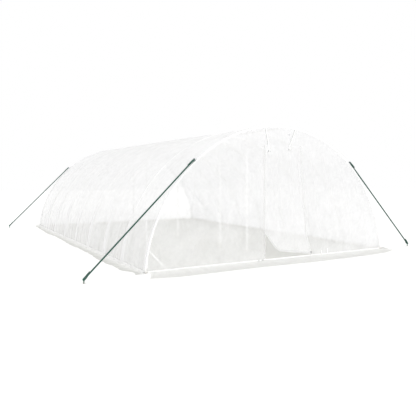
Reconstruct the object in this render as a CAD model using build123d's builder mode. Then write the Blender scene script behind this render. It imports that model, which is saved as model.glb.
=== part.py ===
# Polytunnel greenhouse: round steel tube hoops on base rails, under a translucent film cover
# with a zipped roll-up door in the front gable, ground skirts all round and four guy ropes.
# Millimetres. X runs across the tunnel, Y along it and Z up. The door faces -Y.
# The origin is on the ground in the middle of the tunnel.

import os
from math import acos, asin, atan2, cos, degrees, radians, sin, sqrt

from build123d import *

# The tunnel over its tubes
tunnel_width = 5000
tunnel_height = 2300
tunnel_length = 8000
hoop_count = 9

# Tubes are drawn with flat sides and hoops as short straight runs, so that they stay light
tube_sides = 12
hoop_runs = 32

# Tubes, and the slip fit of a hoop's foot on its spigot
tube_diameter = 25
brace_diameter = 20
spigot_diameter = 20
spigot_clearance = 0.5
spigot_length = 60
seat_gap = 0.3
bar_end_gap = 2.5
rail_overrun = 25
rail_end_bore = 20
rail_end_bore_depth = 60

# Posts under the ridge
post_foot_size = 60
post_foot_thickness = 4
saddle_wall = 3
saddle_length = 60

# Braces
side_brace_foot_height = 60
side_brace_top_height = 1150
gable_brace_top_height = 340
gable_brace_reach = 370

# Film, modelled thicker than the real sheet
film_thickness = 3
strip_angle = 30
hem_height = 32
hem_inset = 50

# Door opening in the front gable, measured across from the tunnel's middle
door_left = -315
door_head_drop = 350
door_right_top = 430
door_right_knee = 555
door_knee_height = 450
door_right_foot = 690

# Door panel: it laps the opening, and its lower left corner is unzipped and drawn across
panel_lap = 15
panel_curl_height = 520
panel_curl_middle = (-205, 330)
panel_curl_foot = (-20, 160)
panel_foot_height = 60
zip_width = 30
zip_thickness = 2

# Ties for the rolled panel, which run down past the door's top to a toggle each
tie_width = 25
tie_thickness = 2
tie_top_drop = 60
left_tie_top = -300
left_tie_end = -236
left_tie_reach = 65
right_tie_top = 340
right_tie_end = 205
right_tie_reach = 35
toggle_diameter = 14
toggle_length = 46

# Skirts that lie on the ground
side_skirt_width = 250
side_skirt_overrun = 60
gable_skirt_depth = 500
gable_skirt_inset = 110
gable_skirt_flare = 195

# Guy ropes, their eye hooks on the end hoops and their pegs. The hooks sit a little above the
# place where a rope would leave the arch as a tangent, and the ropes still clear the film. The
# front left peg stands farther out than the next, and ahead of the gable, and the back right
# peg, which faces it across the middle, matches it.
hook_lead = 4.1
hook_pad_length = 50
hook_pad_width = 40
hook_pad_thickness = 3
eye_radius = 18
eye_wire_diameter = 8
eye_weld_depth = 1.5
rope_diameter = 18
peg_distance = 805
wide_peg_distance = 970
wide_peg_lead = 250
peg_diameter = 16
peg_eye_height = 55
peg_eye_radius = 14
peg_eye_wire_diameter = 10

# Circles about the tunnel's axis, which lies below the ground
tube_radius = tube_diameter / 2
brace_radius = brace_diameter / 2
hoop_outer = (tunnel_width**2 / 4 + tunnel_height**2) / (2 * tunnel_height)
axis_height = tunnel_height - hoop_outer
hoop_radius = hoop_outer - tube_radius
hoop_inner = hoop_outer - tube_diameter
cover_inner = hoop_outer + seat_gap
cover_outer = cover_inner + film_thickness


def angle_at(radius, height):
    """Angle from the top of a circle about the tunnel's axis down to a height."""
    return degrees(acos((height - axis_height) / radius))


def across(radius, height):
    """Distance from the tunnel's middle to a circle about its axis, at a height."""
    return sqrt(radius**2 - (height - axis_height) ** 2)


def arch_point(radius, angle, y):
    """A point on a circle about the tunnel's axis, at an angle from its top towards +X."""
    return (radius * sin(radians(angle)), y, axis_height + radius * cos(radians(angle)))


def tube_section(radius, mode=Mode.ADD):
    """A tube's outline: flat sides that touch the circle of its radius."""
    RegularPolygon(radius, tube_sides, major_radius=False, rotation=180 / tube_sides, mode=mode)


def corner_reach(radius):
    """Distance from the middle of a tube to the corners between its flat sides."""
    return radius / cos(radians(180 / tube_sides))


def line_plane(start, end):
    """The plane square to a straight tube, at its start."""
    return Plane(origin=start, x_dir=(0, 1, 0), z_dir=Vector(*end) - Vector(*start))


def distance(start, end):
    """The length of a straight tube."""
    return (Vector(*end) - Vector(*start)).length


def point_along(start, end, reach):
    """The point at a distance from the start of a straight line towards its end."""
    return Vector(*start) + (Vector(*end) - Vector(*start)).normalized() * reach


# Places along the tunnel
end_hoop_y = tunnel_length / 2 - tube_radius
hoop_pitch = 2 * end_hoop_y / (hoop_count - 1)
hoop_places = [number * hoop_pitch - end_hoop_y for number in range(hoop_count)]
middle_hoop = (hoop_count - 1) // 2
post_hoops = sorted({1, 2, middle_hoop, hoop_count - 3, hoop_count - 2})
gable_back = tunnel_length / 2 + seat_gap
gable_front = gable_back + film_thickness

# Places round the arch
rail_height = tube_radius
rail_angle = angle_at(hoop_radius, rail_height)
rail_x = across(hoop_radius, rail_height)
hoop_step = 2 * rail_angle / hoop_runs
bend_angle = rail_angle - hoop_step
foot_reach = corner_reach(tube_radius) + seat_gap
spigot_radius = spigot_diameter / 2
bore_radius = spigot_radius + spigot_clearance
bore_depth = spigot_length + seat_gap


def hoop_inside(angle):
    """Distance from the tunnel's axis to the inner side of a hoop's straight runs."""
    from_middle = (angle + rail_angle) % hoop_step - hoop_step / 2
    return hoop_radius * cos(radians(hoop_step / 2)) / cos(radians(from_middle)) - tube_radius


os.makedirs("parts", exist_ok=True)

# Hoops: one bent tube each, bored at both straight feet to slip over the rails' spigots
bends = [
    arch_point(hoop_radius, number * hoop_step - rail_angle, 0) for number in range(1, hoop_runs)
]
left_foot = point_along(arch_point(hoop_radius, -rail_angle, 0), bends[0], foot_reach)
right_foot = point_along(arch_point(hoop_radius, rail_angle, 0), bends[-1], foot_reach)
with BuildPart() as hoop:
    with BuildLine():
        Polyline(left_foot, *bends, right_foot)
    with BuildSketch(line_plane(left_foot, bends[0])):
        tube_section(tube_radius)
    sweep(transition=Transition.RIGHT)
    for foot, bend in ((left_foot, bends[0]), (right_foot, bends[-1])):
        with BuildSketch(line_plane(foot, bend)):
            tube_section(bore_radius)
        extrude(amount=bore_depth, mode=Mode.SUBTRACT)
for number, y in enumerate(hoop_places, 1):
    placed_hoop = hoop.part.moved(Location((0, y, 0)))
    placed_hoop.label = f"hoop_{number}"
    export_step(placed_hoop, f"parts/hoop_{number}.step")

# Base rails along the sides: each carries a spigot for every hoop and one for each gable bar
rail_half_length = tunnel_length / 2 + rail_overrun
bar_half_length = rail_x - tube_radius - bar_end_gap
for side, name in ((-1, "left_base_rail"), (1, "right_base_rail")):
    with BuildPart() as base_rail:
        with BuildSketch(Plane.XZ.offset(-rail_half_length)):
            with Locations((side * rail_x, rail_height)):
                tube_section(tube_radius)
        extrude(amount=2 * rail_half_length)
        for end in (-1, 1):
            with BuildSketch(Plane.XZ.offset(end * rail_half_length)):
                with Locations((side * rail_x, rail_height)):
                    tube_section(rail_end_bore / 2)
            extrude(amount=-end * rail_end_bore_depth, mode=Mode.SUBTRACT)
        for y in hoop_places:
            middle = (side * rail_x, y, rail_height)
            bend = arch_point(hoop_radius, side * bend_angle, y)
            with BuildSketch(line_plane(middle, bend)):
                tube_section(spigot_radius)
            extrude(amount=foot_reach + spigot_length)
        for y in (-end_hoop_y, end_hoop_y):
            start = (side * rail_x, y, rail_height)
            tip = (side * (bar_half_length - spigot_length), y, rail_height)
            with BuildSketch(line_plane(start, tip)):
                tube_section(spigot_radius)
            extrude(amount=distance(start, tip))
    base_rail.part.label = name
    export_step(base_rail.part, f"parts/{name}.step")

# Base bars across the foot of each gable, between the rails
for end, name in ((-1, "front_base_bar"), (1, "back_base_bar")):
    with BuildPart() as base_bar:
        with BuildSketch(Plane.YZ.offset(-bar_half_length)):
            with Locations((end * end_hoop_y, rail_height)):
                tube_section(tube_radius)
        extrude(amount=2 * bar_half_length)
        for side in (-1, 1):
            with BuildSketch(Plane.YZ.offset(side * bar_half_length)):
                with Locations((end * end_hoop_y, rail_height)):
                    tube_section(bore_radius)
            extrude(amount=-side * bore_depth, mode=Mode.SUBTRACT)
    base_bar.part.label = name
    export_step(base_bar.part, f"parts/{name}.step")

# Ridge tube, straight under the tops of the hoops
ridge_height = axis_height + hoop_inner - seat_gap - tube_radius
with BuildPart() as ridge_tube:
    with BuildSketch(Plane.XZ.offset(-tunnel_length / 2)):
        with Locations((0, ridge_height)):
            tube_section(tube_radius)
    extrude(amount=tunnel_length)
ridge_tube.part.label = "ridge_tube"
export_step(ridge_tube.part, "parts/ridge_tube.step")

# Posts: a foot plate, a tube and a half-round saddle that cradles the ridge tube
saddle_inner = tube_radius + seat_gap
saddle_outer = saddle_inner + saddle_wall
with BuildPart() as ridge_posts:
    for number in post_hoops:
        y = hoop_places[number]
        with BuildSketch():
            with Locations((0, y)):
                Rectangle(post_foot_size, post_foot_size)
        extrude(amount=post_foot_thickness)
        with BuildSketch():
            with Locations((0, y)):
                tube_section(tube_radius)
        extrude(amount=ridge_height - saddle_inner - saddle_wall / 2)
        with BuildSketch(Plane.XZ.offset(-y - saddle_length / 2)):
            with Locations((0, ridge_height)):
                tube_section(saddle_outer)
                tube_section(saddle_inner, mode=Mode.SUBTRACT)
            with Locations((0, ridge_height + saddle_outer)):
                Rectangle(2 * saddle_outer, 2 * saddle_outer, mode=Mode.SUBTRACT)
        extrude(amount=saddle_length)
ridge_posts.part.label = "ridge_posts"
export_step(ridge_posts.part, "parts/ridge_posts.step")

# Side braces: each corner's foot is tied to the next hoop, inside the hoops
side_brace_seat = corner_reach(brace_radius) + seat_gap
side_brace_foot = angle_at(hoop_inner, side_brace_foot_height)
side_brace_top = angle_at(hoop_inner, side_brace_top_height)
foot_arch = hoop_inside(side_brace_foot) - side_brace_seat
top_arch = hoop_inside(side_brace_top) - side_brace_seat
for side, name in ((-1, "left_side_braces"), (1, "right_side_braces")):
    with BuildPart() as side_braces:
        foot = arch_point(foot_arch, side * side_brace_foot, -end_hoop_y)
        top = arch_point(top_arch, side * side_brace_top, hoop_pitch - end_hoop_y)
        with BuildSketch(line_plane(foot, top)):
            tube_section(brace_radius)
        extrude(amount=distance(foot, top))
        mirror(about=Plane.XZ)
    side_braces.part.label = name
    export_step(side_braces.part, f"parts/{name}.step")

# Gable braces: each lower corner of a gable is tied from the hoop to the base bar
gable_brace_y = end_hoop_y - tube_radius - seat_gap - brace_radius
for end, name in ((-1, "front_gable_braces"), (1, "back_gable_braces")):
    with BuildPart() as gable_braces:
        top_x = across(hoop_radius, gable_brace_top_height)
        top = (-top_x, end * gable_brace_y, gable_brace_top_height)
        foot = (gable_brace_reach - tunnel_width / 2, end * gable_brace_y, rail_height)
        with BuildSketch(line_plane(foot, top)):
            tube_section(brace_radius)
        extrude(amount=distance(foot, top))
        mirror(about=Plane.YZ)
    gable_braces.part.label = name
    export_step(gable_braces.part, f"parts/{name}.step")

# Film over the hoops, in strips along the tunnel from the right ground edge to the left one
ground_angle_outer = degrees(asin(-axis_height / cover_outer))
ground_angle_inner = degrees(asin(-axis_height / cover_inner))
cover_names = (
    "right_wall_cover",
    "right_shoulder_cover",
    "right_roof_cover",
    "left_roof_cover",
    "left_shoulder_cover",
    "left_wall_cover",
)
seams = [number * strip_angle for number in range(1, len(cover_names))]
outer_edges = [ground_angle_outer, *seams, 180 - ground_angle_outer]
inner_edges = [ground_angle_inner, *seams, 180 - ground_angle_inner]
for number, name in enumerate(cover_names):
    outer_start, outer_end = outer_edges[number : number + 2]
    inner_start, inner_end = inner_edges[number : number + 2]
    with BuildPart() as cover_strip:
        with BuildSketch(Plane.XZ):
            with BuildLine():
                middle = (0, axis_height)
                outer = CenterArc(middle, cover_outer, outer_start, outer_end - outer_start)
                inner = CenterArc(middle, cover_inner, inner_start, inner_end - inner_start)
                Line(outer @ 0, inner @ 0)
                Line(outer @ 1, inner @ 1)
            make_face()
        extrude(amount=gable_back, both=True)
    cover_strip.part.label = name
    export_step(cover_strip.part, f"parts/{name}.step")

# Front gable film, beside and over the doorway, on a hem along the ground
door_top = tunnel_height - door_head_drop
beside_arch = cover_outer + film_thickness
above_arch = axis_height + beside_arch
gable_outlines = {
    "front_gable_left": (
        (-beside_arch, hem_height),
        (door_left, hem_height),
        (door_left, above_arch),
        (-beside_arch, above_arch),
    ),
    "front_gable_over_door": (
        (door_left, door_top),
        (door_right_top, door_top),
        (door_right_top, above_arch),
        (door_left, above_arch),
    ),
    "front_gable_right": (
        (door_right_foot, hem_height),
        (beside_arch, hem_height),
        (beside_arch, above_arch),
        (door_right_top, above_arch),
        (door_right_top, door_top),
        (door_right_knee, door_knee_height),
    ),
}
for name, outline in gable_outlines.items():
    with BuildPart() as gable_film:
        with BuildSketch(Plane.XZ.offset(gable_back)):
            with Locations((0, axis_height)):
                Circle(cover_outer)
            with BuildLine():
                Polyline(*outline, close=True)
            make_face(mode=Mode.INTERSECT)
        extrude(amount=film_thickness)
    gable_film.part.label = name
    export_step(gable_film.part, f"parts/{name}.step")

hem_half_width = tunnel_width / 2 - hem_inset
with BuildPart() as front_hem:
    with BuildSketch(Plane.XZ.offset(gable_back)):
        with Locations((0, hem_height / 2)):
            Rectangle(2 * hem_half_width, hem_height)
    extrude(amount=film_thickness)
front_hem.part.label = "front_hem"
export_step(front_hem.part, "parts/front_hem.step")

# Back gable film: plain, with its hem
with BuildPart() as back_gable:
    with BuildSketch(Plane.XZ.offset(-gable_back)):
        with Locations((0, axis_height)):
            Circle(cover_outer)
        with Locations((0, (above_arch + hem_height) / 2)):
            Rectangle(2 * beside_arch, above_arch - hem_height, mode=Mode.INTERSECT)
        with Locations((0, hem_height / 2)):
            Rectangle(2 * hem_half_width, hem_height)
    extrude(amount=-film_thickness)
back_gable.part.label = "back_gable"
export_step(back_gable.part, "parts/back_gable.step")

# Door panel: hangs over the opening from its top, with the unzipped corner drawn across
with BuildPart() as door_panel:
    with BuildSketch(Plane.XZ.offset(gable_front)):
        with BuildLine():
            left_edge = door_left - panel_lap
            Line((left_edge, door_top + panel_lap), (left_edge, panel_curl_height))
            ThreePointArc((left_edge, panel_curl_height), panel_curl_middle, panel_curl_foot)
            Polyline(
                panel_curl_foot,
                (door_right_foot + panel_lap, panel_foot_height),
                (door_right_knee + panel_lap, door_knee_height),
                (door_right_top + panel_lap, door_top + panel_lap),
                (left_edge, door_top + panel_lap),
            )
        make_face()
    extrude(amount=film_thickness)
door_panel.part.label = "door_panel"
export_step(door_panel.part, "parts/door_panel.step")

# Zips: one tape down each edge of the opening, over the panel's lap
panel_front = gable_front + film_thickness
with BuildPart() as door_zips:
    with BuildSketch(Plane.XZ.offset(panel_front)):
        with BuildLine():
            Line((left_edge, door_top), (left_edge, panel_foot_height))
        trace(line_width=zip_width)
    extrude(amount=zip_thickness)
    with BuildSketch(Plane.XZ.offset(panel_front)):
        with BuildLine():
            Polyline(
                (door_right_top + panel_lap, door_top),
                (door_right_knee + panel_lap, door_knee_height),
                (door_right_foot + panel_lap, panel_foot_height),
            )
        trace(line_width=zip_width)
    extrude(amount=zip_thickness)
door_zips.part.label = "door_zips"
export_step(door_zips.part, "parts/door_zips.step")

# Ties from the top hoop, hanging over the panel's top edge
tie_top_height = tunnel_height - tie_top_drop
left_end = (left_tie_end, door_top - left_tie_reach)
right_end = (right_tie_end, door_top - right_tie_reach)
with BuildPart() as door_ties:
    for top_x, end in ((left_tie_top, left_end), (right_tie_top, right_end)):
        with BuildSketch(Plane.XZ.offset(panel_front)):
            with BuildLine():
                Line((top_x, tie_top_height), end)
            trace(line_width=tie_width)
        extrude(amount=tie_thickness)
door_ties.part.label = "door_ties"
export_step(door_ties.part, "parts/door_ties.step")

# Toggles: one short rod across the end of each tie
toggle_y = -(panel_front + seat_gap + toggle_diameter / 2)
toggle_drop = toggle_diameter / 2 + tie_width / 2 + seat_gap
with BuildPart() as tie_toggles:
    for end_x, end_z in (left_end, right_end):
        with BuildSketch(Plane.YZ.offset(end_x - toggle_length / 2)):
            with Locations((toggle_y, end_z - toggle_drop)):
                tube_section(toggle_diameter / 2)
        extrude(amount=toggle_length)
tie_toggles.part.label = "tie_toggles"
export_step(tie_toggles.part, "parts/tie_toggles.step")

# Skirts flat on the ground, outside the film
skirt_inner_x = across(cover_outer, 0) + seat_gap
for side, name in ((-1, "left_skirt"), (1, "right_skirt")):
    with BuildPart() as side_skirt:
        with BuildSketch():
            with Locations((side * (skirt_inner_x + side_skirt_width / 2), 0)):
                Rectangle(side_skirt_width, tunnel_length + 2 * side_skirt_overrun)
        extrude(amount=film_thickness)
    side_skirt.part.label = name
    export_step(side_skirt.part, f"parts/{name}.step")

skirt_half_width = tunnel_width / 2 - gable_skirt_inset
for end, name in ((-1, "front_skirt"), (1, "back_skirt")):
    with BuildPart() as gable_skirt:
        with BuildSketch():
            with BuildLine():
                inner_y = end * gable_front
                outer_y = end * (gable_front + gable_skirt_depth)
                Polyline(
                    (-skirt_half_width, inner_y),
                    (skirt_half_width, inner_y),
                    (skirt_half_width + gable_skirt_flare, outer_y),
                    (-skirt_half_width - gable_skirt_flare, outer_y),
                    close=True,
                )
            make_face()
        extrude(amount=film_thickness)
    gable_skirt.part.label = name
    export_step(gable_skirt.part, f"parts/{name}.step")

# Guy lines: for each corner its side and end, and where its peg stands
peg_x = tunnel_width / 2 + peg_distance
wide_peg_x = tunnel_width / 2 + wide_peg_distance
wide_peg_y = end_hoop_y + wide_peg_lead
guy_corners = {
    "front_left": (-1, -1, (-wide_peg_x, -wide_peg_y)),
    "front_right": (1, -1, (peg_x, -end_hoop_y)),
    "back_left": (-1, 1, (-peg_x, end_hoop_y)),
    "back_right": (1, 1, (wide_peg_x, wide_peg_y)),
}
pad_arch = cover_outer + seat_gap
eye_outer = eye_radius + eye_wire_diameter / 2
eye_inner = eye_radius - eye_wire_diameter / 2
eye_arch = pad_arch + hook_pad_thickness + eye_outer - eye_weld_depth
peg_bearing = degrees(atan2(peg_x, peg_eye_height - axis_height))
peg_range = distance((0, 0, axis_height), (peg_x, 0, peg_eye_height))
hook_angle = peg_bearing - degrees(acos(eye_arch / peg_range)) - hook_lead


def guy_line(side, end, peg_place):
    """The middles of a corner's hook eye and peg eye, and the way from the first to the second."""
    hook_eye = Vector(*arch_point(eye_arch, side * hook_angle, end * end_hoop_y))
    peg_eye = Vector(*peg_place, peg_eye_height)
    return hook_eye, peg_eye, peg_eye - hook_eye


# Guy hooks: a pad on the film over each end hoop, with a flat eye welded to it that faces its rope
with BuildPart() as guy_hooks:
    for side, end, peg_place in guy_corners.values():
        hook_eye, peg_eye, rope_run = guy_line(side, end, peg_place)
        pad_middle = arch_point(pad_arch, side * hook_angle, end * end_hoop_y)
        outwards = Vector(*arch_point(1, side * hook_angle, 0)) - Vector(0, 0, axis_height)
        with BuildSketch(Plane(origin=pad_middle, x_dir=(0, 1, 0), z_dir=outwards)):
            Rectangle(hook_pad_length, hook_pad_width)
        extrude(amount=hook_pad_thickness)
        with BuildSketch(Plane(origin=hook_eye, x_dir=rope_run, z_dir=rope_run.cross(outwards))):
            tube_section(eye_outer)
            tube_section(eye_inner, mode=Mode.SUBTRACT)
        extrude(amount=eye_wire_diameter / 2, both=True)
guy_hooks.part.label = "guy_hooks"
export_step(guy_hooks.part, "parts/guy_hooks.step")

# Guy pegs: a stake that stands in the ground beside each corner, with a flat eye on top
peg_eye_outer = peg_eye_radius + peg_eye_wire_diameter / 2
peg_eye_inner = peg_eye_radius - peg_eye_wire_diameter / 2
with BuildPart() as guy_pegs:
    for side, end, peg_place in guy_corners.values():
        hook_eye, peg_eye, rope_run = guy_line(side, end, peg_place)
        with BuildSketch():
            with Locations(peg_place):
                tube_section(peg_diameter / 2)
        extrude(amount=peg_eye_height - peg_eye_radius)
        with BuildSketch(Plane(origin=peg_eye, x_dir=rope_run, z_dir=rope_run.cross(Vector(0, 0, 1)))):
            tube_section(peg_eye_outer)
            tube_section(peg_eye_inner, mode=Mode.SUBTRACT)
        extrude(amount=peg_eye_wire_diameter / 2, both=True)
guy_pegs.part.label = "guy_pegs"
export_step(guy_pegs.part, "parts/guy_pegs.step")

# Guy ropes, drawn straight from the hooks' eyes to the pegs' eyes
for name, (side, end, peg_place) in guy_corners.items():
    hook_eye, peg_eye, rope_run = guy_line(side, end, peg_place)
    rope_start = point_along(hook_eye, peg_eye, eye_outer + seat_gap)
    rope_end = point_along(peg_eye, hook_eye, peg_eye_outer + seat_gap)
    with BuildPart() as guy_rope:
        with BuildSketch(line_plane(rope_start, rope_end)):
            tube_section(rope_diameter / 2)
        extrude(amount=distance(rope_start, rope_end))
    guy_rope.part.label = f"{name}_guy_rope"
    export_step(guy_rope.part, f"parts/{name}_guy_rope.step")
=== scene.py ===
# %% [markdown]
# A polytunnel greenhouse: nine round steel hoops under a milky, see-through film, with a zipped
# roll-up door, flaps on the ground and four green guy ropes. The frame was modelled as exact
# solids, and this script loads them. What it adds is what solids can't show: film that hangs in
# folds, zips with teeth, welded hems, laid ropes, and the finish of every piece.
# Lengths are in metres. X runs across the tunnel, Y along it and Z up. The door faces -Y.

# %% Load the frame
import math

import bpy
import numpy as np
from mathutils import Matrix, Vector


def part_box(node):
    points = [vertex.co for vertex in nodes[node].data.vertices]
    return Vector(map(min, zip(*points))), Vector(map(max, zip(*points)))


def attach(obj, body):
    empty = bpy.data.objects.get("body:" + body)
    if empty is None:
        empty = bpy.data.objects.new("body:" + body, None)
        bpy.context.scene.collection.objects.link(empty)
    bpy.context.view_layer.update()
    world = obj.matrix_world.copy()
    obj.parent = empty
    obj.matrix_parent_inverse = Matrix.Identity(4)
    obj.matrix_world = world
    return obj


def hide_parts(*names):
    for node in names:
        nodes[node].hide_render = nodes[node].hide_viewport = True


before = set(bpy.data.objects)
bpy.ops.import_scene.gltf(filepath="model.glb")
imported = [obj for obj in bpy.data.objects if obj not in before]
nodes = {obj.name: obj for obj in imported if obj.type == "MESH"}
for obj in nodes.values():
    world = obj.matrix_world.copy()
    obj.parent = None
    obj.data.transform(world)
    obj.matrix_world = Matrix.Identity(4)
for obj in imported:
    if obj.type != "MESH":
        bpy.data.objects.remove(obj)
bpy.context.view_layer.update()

# %% [markdown]
# Everything follows the arch. The film is a part of a circle, and a circle is fixed by its width
# at the ground and its height: radius = (half width squared + height squared) / twice the height.
# Reading both from the solids keeps the film on the hoops if the tunnel's size changes.

# %% The arch and the places along it
MM = 0.001
wall_low, wall_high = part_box("left_wall_cover")
film_half_width = -wall_low[0]
film_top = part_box("left_roof_cover")[1][2]
arch_radius = (film_half_width**2 + film_top**2) / (2 * film_top)
axis_height = film_top - arch_radius
ground_angle = math.acos(-axis_height / arch_radius)
arch_length = 2 * arch_radius * ground_angle
front_y = wall_low[1]
back_y = wall_high[1]
hoop_names = [f"hoop_{number}" for number in range(1, 10)]
hoop_boxes = [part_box(name) for name in hoop_names]
hoop_ys = [(low[1] + high[1]) / 2 for low, high in hoop_boxes]
tube_radius = (hoop_boxes[0][1][1] - hoop_boxes[0][0][1]) / 2
bay_length = hoop_ys[1] - hoop_ys[0]
print("arch radius", round(arch_radius, 3), "film over the arch", round(arch_length, 2))


def arch_height(x):
    """Height of the film above the ground at a distance from the tunnel's middle."""
    return axis_height + np.sqrt(arch_radius**2 - np.square(x))


def arch_half_width(z):
    """Half the width of the film's arch at a height."""
    return np.sqrt(arch_radius**2 - np.square(z - axis_height))


# %% [markdown]
# Every new piece has to be named, shaded smooth or flat, and tied to the tunnel's one body, so a
# few helpers come first. A sheet of film is a grid of points: each row of the grid is one line
# across the sheet, and two neighbouring rows make a strip of four-sided faces. The grid's place
# on the flat film is kept as a UV map in metres, so that a pattern can follow the film.

# %% Helpers for pieces
rng = np.random.default_rng(11)


def place(piece, slot, *replaced):
    """Ties a finished piece to the tunnel and hides the solids it stands for."""
    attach(piece, "root")
    if replaced:
        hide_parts(*replaced)
    return piece


def in_scene(name, data):
    """A new object in the scene that holds a mesh, a lamp or a camera."""
    made = bpy.data.objects.new(name, data)
    bpy.context.scene.collection.objects.link(made)
    return made


# %% Helpers for lines of points
def to_points(*axes):
    """Points from their coordinates, each an array or one number for all of them."""
    return np.stack(np.broadcast_arrays(*axes), axis=-1)


def run_lengths(line):
    """How far along a line each of its points lies."""
    return np.concatenate(([0], np.cumsum(np.linalg.norm(np.diff(line, axis=0), axis=1))))


def read_along(track, run, at):
    """What a track says at some lengths, from its values at the lengths in run."""
    return to_points(*(np.interp(at, run, track[:, axis]) for axis in range(3)))


# %% Sheets as grids of points
def grid_faces(rows, columns, first):
    """The four corners of each face of a grid of points, row by row, numbered from first."""
    corner = first + np.arange(rows * columns).reshape(rows, columns)
    faces = np.stack((corner[:-1, :-1], corner[:-1, 1:], corner[1:, 1:], corner[1:, :-1]), axis=-1)
    return faces.reshape(-1, 4)


def grid_piece(name, grids, **marks):
    """One smooth mesh of several grids. Each is (points, flat places), as arrays by row and column.

    A mark is a number kept at every point for the finish to read: one array for each grid.
    """
    points, flats, faces, first = [], [], [], 0
    for places, flat in grids:
        rows, columns = places.shape[:2]
        points.append(places.reshape(-1, 3))
        flats.append(flat.reshape(-1, 2))
        faces.append(grid_faces(rows, columns, first))
        first += rows * columns
    points, flats, faces = np.concatenate(points), np.concatenate(flats), np.concatenate(faces)
    mesh = bpy.data.meshes.new(name)
    mesh.from_pydata(points.tolist(), [], faces.tolist())
    uv = mesh.uv_layers.new(name="flat_metres")
    uv.data.foreach_set("uv", flats[faces.reshape(-1)].reshape(-1))
    mesh.polygons.foreach_set("use_smooth", np.ones(len(faces), dtype=bool))
    for mark, arrays in marks.items():
        layer = mesh.attributes.new(name=mark, type="FLOAT", domain="POINT")
        layer.data.foreach_set("value", np.concatenate([array.reshape(-1) for array in arrays]))
    mesh.update()
    return in_scene(name, mesh)


# %% Selecting and naming, as by hand
def deselect_all():
    """Leaves nothing selected, so that an operator acts on the new piece alone."""
    for other in bpy.context.selected_objects:
        other.select_set(False)


def named(name):
    """Names the piece that an operator just added, and its mesh."""
    piece = bpy.context.object
    piece.name = name
    piece.data.name = name
    return piece


def pick(*pieces):
    """Selects these pieces alone. The first one is what edit mode works on."""
    deselect_all()
    for piece in pieces:
        piece.select_set(True)
    bpy.context.view_layer.objects.active = pieces[0]


def apply_place(piece):
    """Moves a piece's place, turn and size into its mesh."""
    pick(piece)
    bpy.ops.object.transform_apply(location=True, rotation=True, scale=True)


# %% Strips drawn along a line
def strip(name, line, side, out, section, flatness=None):
    """A long narrow sheet: a section, as (across, lift) pairs, drawn along a line of points."""
    across, lift = np.array(section, dtype=float).T[:, None, :, None] * MM
    points = line[:, None] + np.asarray(side)[..., None, :] * across + np.asarray(out) * lift
    flat = np.meshgrid(run_lengths(line), run_lengths(section) * MM, indexing="ij")
    if flatness is not None:
        points[..., 2] *= flatness[:, None]
    return grid_piece(name, [(points, to_points(*flat))])


# %% [markdown]
# Film folds where it is pulled: a fold is a long low ridge that fades out at its ends. One fold is
# a line on the flat film with a width and a height, and its cross-section is a bell curve. Adding
# many folds of different sizes gives creased film without any simulation, and it is exactly
# repeatable. A slight bow keeps the folds from looking ruled.


# %% Folds in the film
def fold(u, v, start, end, width, height, bow):
    """The height of one fold at the places u, v on the flat film."""
    run = np.subtract(end, start)
    length = math.hypot(*run)
    run = run / length
    along = (u - start[0]) * run[0] + (v - start[1]) * run[1]
    across = (v - start[1]) * run[0] - (u - start[0]) * run[1]
    share = np.clip(along / length, 0, 1)
    across = across - bow * np.sin(math.pi * share)
    fade = np.sin(math.pi * share) ** 0.7 * ((along > 0) & (along < length))
    return height * fade * np.exp(-np.square(across / width))


def scattered_folds(u, v, count, area, lean, lengths, widths, height):
    """Many folds of chance sizes over an area. lean is (middle, spread) of their angle from v."""
    total = np.zeros_like(u)
    for _ in range(count):
        start = (rng.uniform(area[0], area[1]), rng.uniform(area[2], area[3]))
        angle = rng.normal(*lean)
        length = rng.uniform(*lengths)
        end = (start[0] + length * math.sin(angle), start[1] + length * math.cos(angle))
        size = height * rng.uniform(0.4, 1.0) * rng.choice((-1, 1))
        bow = rng.uniform(-0.08, 0.08) * length
        total += fold(u, v, start, end, rng.uniform(*widths), size, bow)
    return total


def swell(u, v, wavelength, height):
    """Slow uneven bulges, as a sum of a few waves in chance directions."""
    total = np.zeros_like(u)
    for _ in range(7):
        turn = rng.uniform(0, 2 * math.pi)
        pace = 2 * math.pi / (wavelength * rng.uniform(0.6, 1.6))
        total += np.sin(pace * (u * math.cos(turn) + v * math.sin(turn)) + rng.uniform(0, 6.3))
    return height * total / 3


def wander(along, wavelength, height):
    """The same slow bulges along one line, for a seam or an edge that isn't quite straight."""
    return swell(along, along * 0, wavelength, height)


# %% Keeping heights in bounds
def limited(height, low, high):
    """Eases a height off smoothly before it reaches a lowest or a highest value."""
    middle, reach = (low + high) / 2, (high - low) / 2
    return middle + reach * np.tanh((height - middle) / reach)


def fade_in(distance, width):
    """0 at no distance and 1 past a width, with a smooth step between."""
    share = np.clip(distance / width, 0, 1)
    return share * share * (3 - 2 * share)
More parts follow.
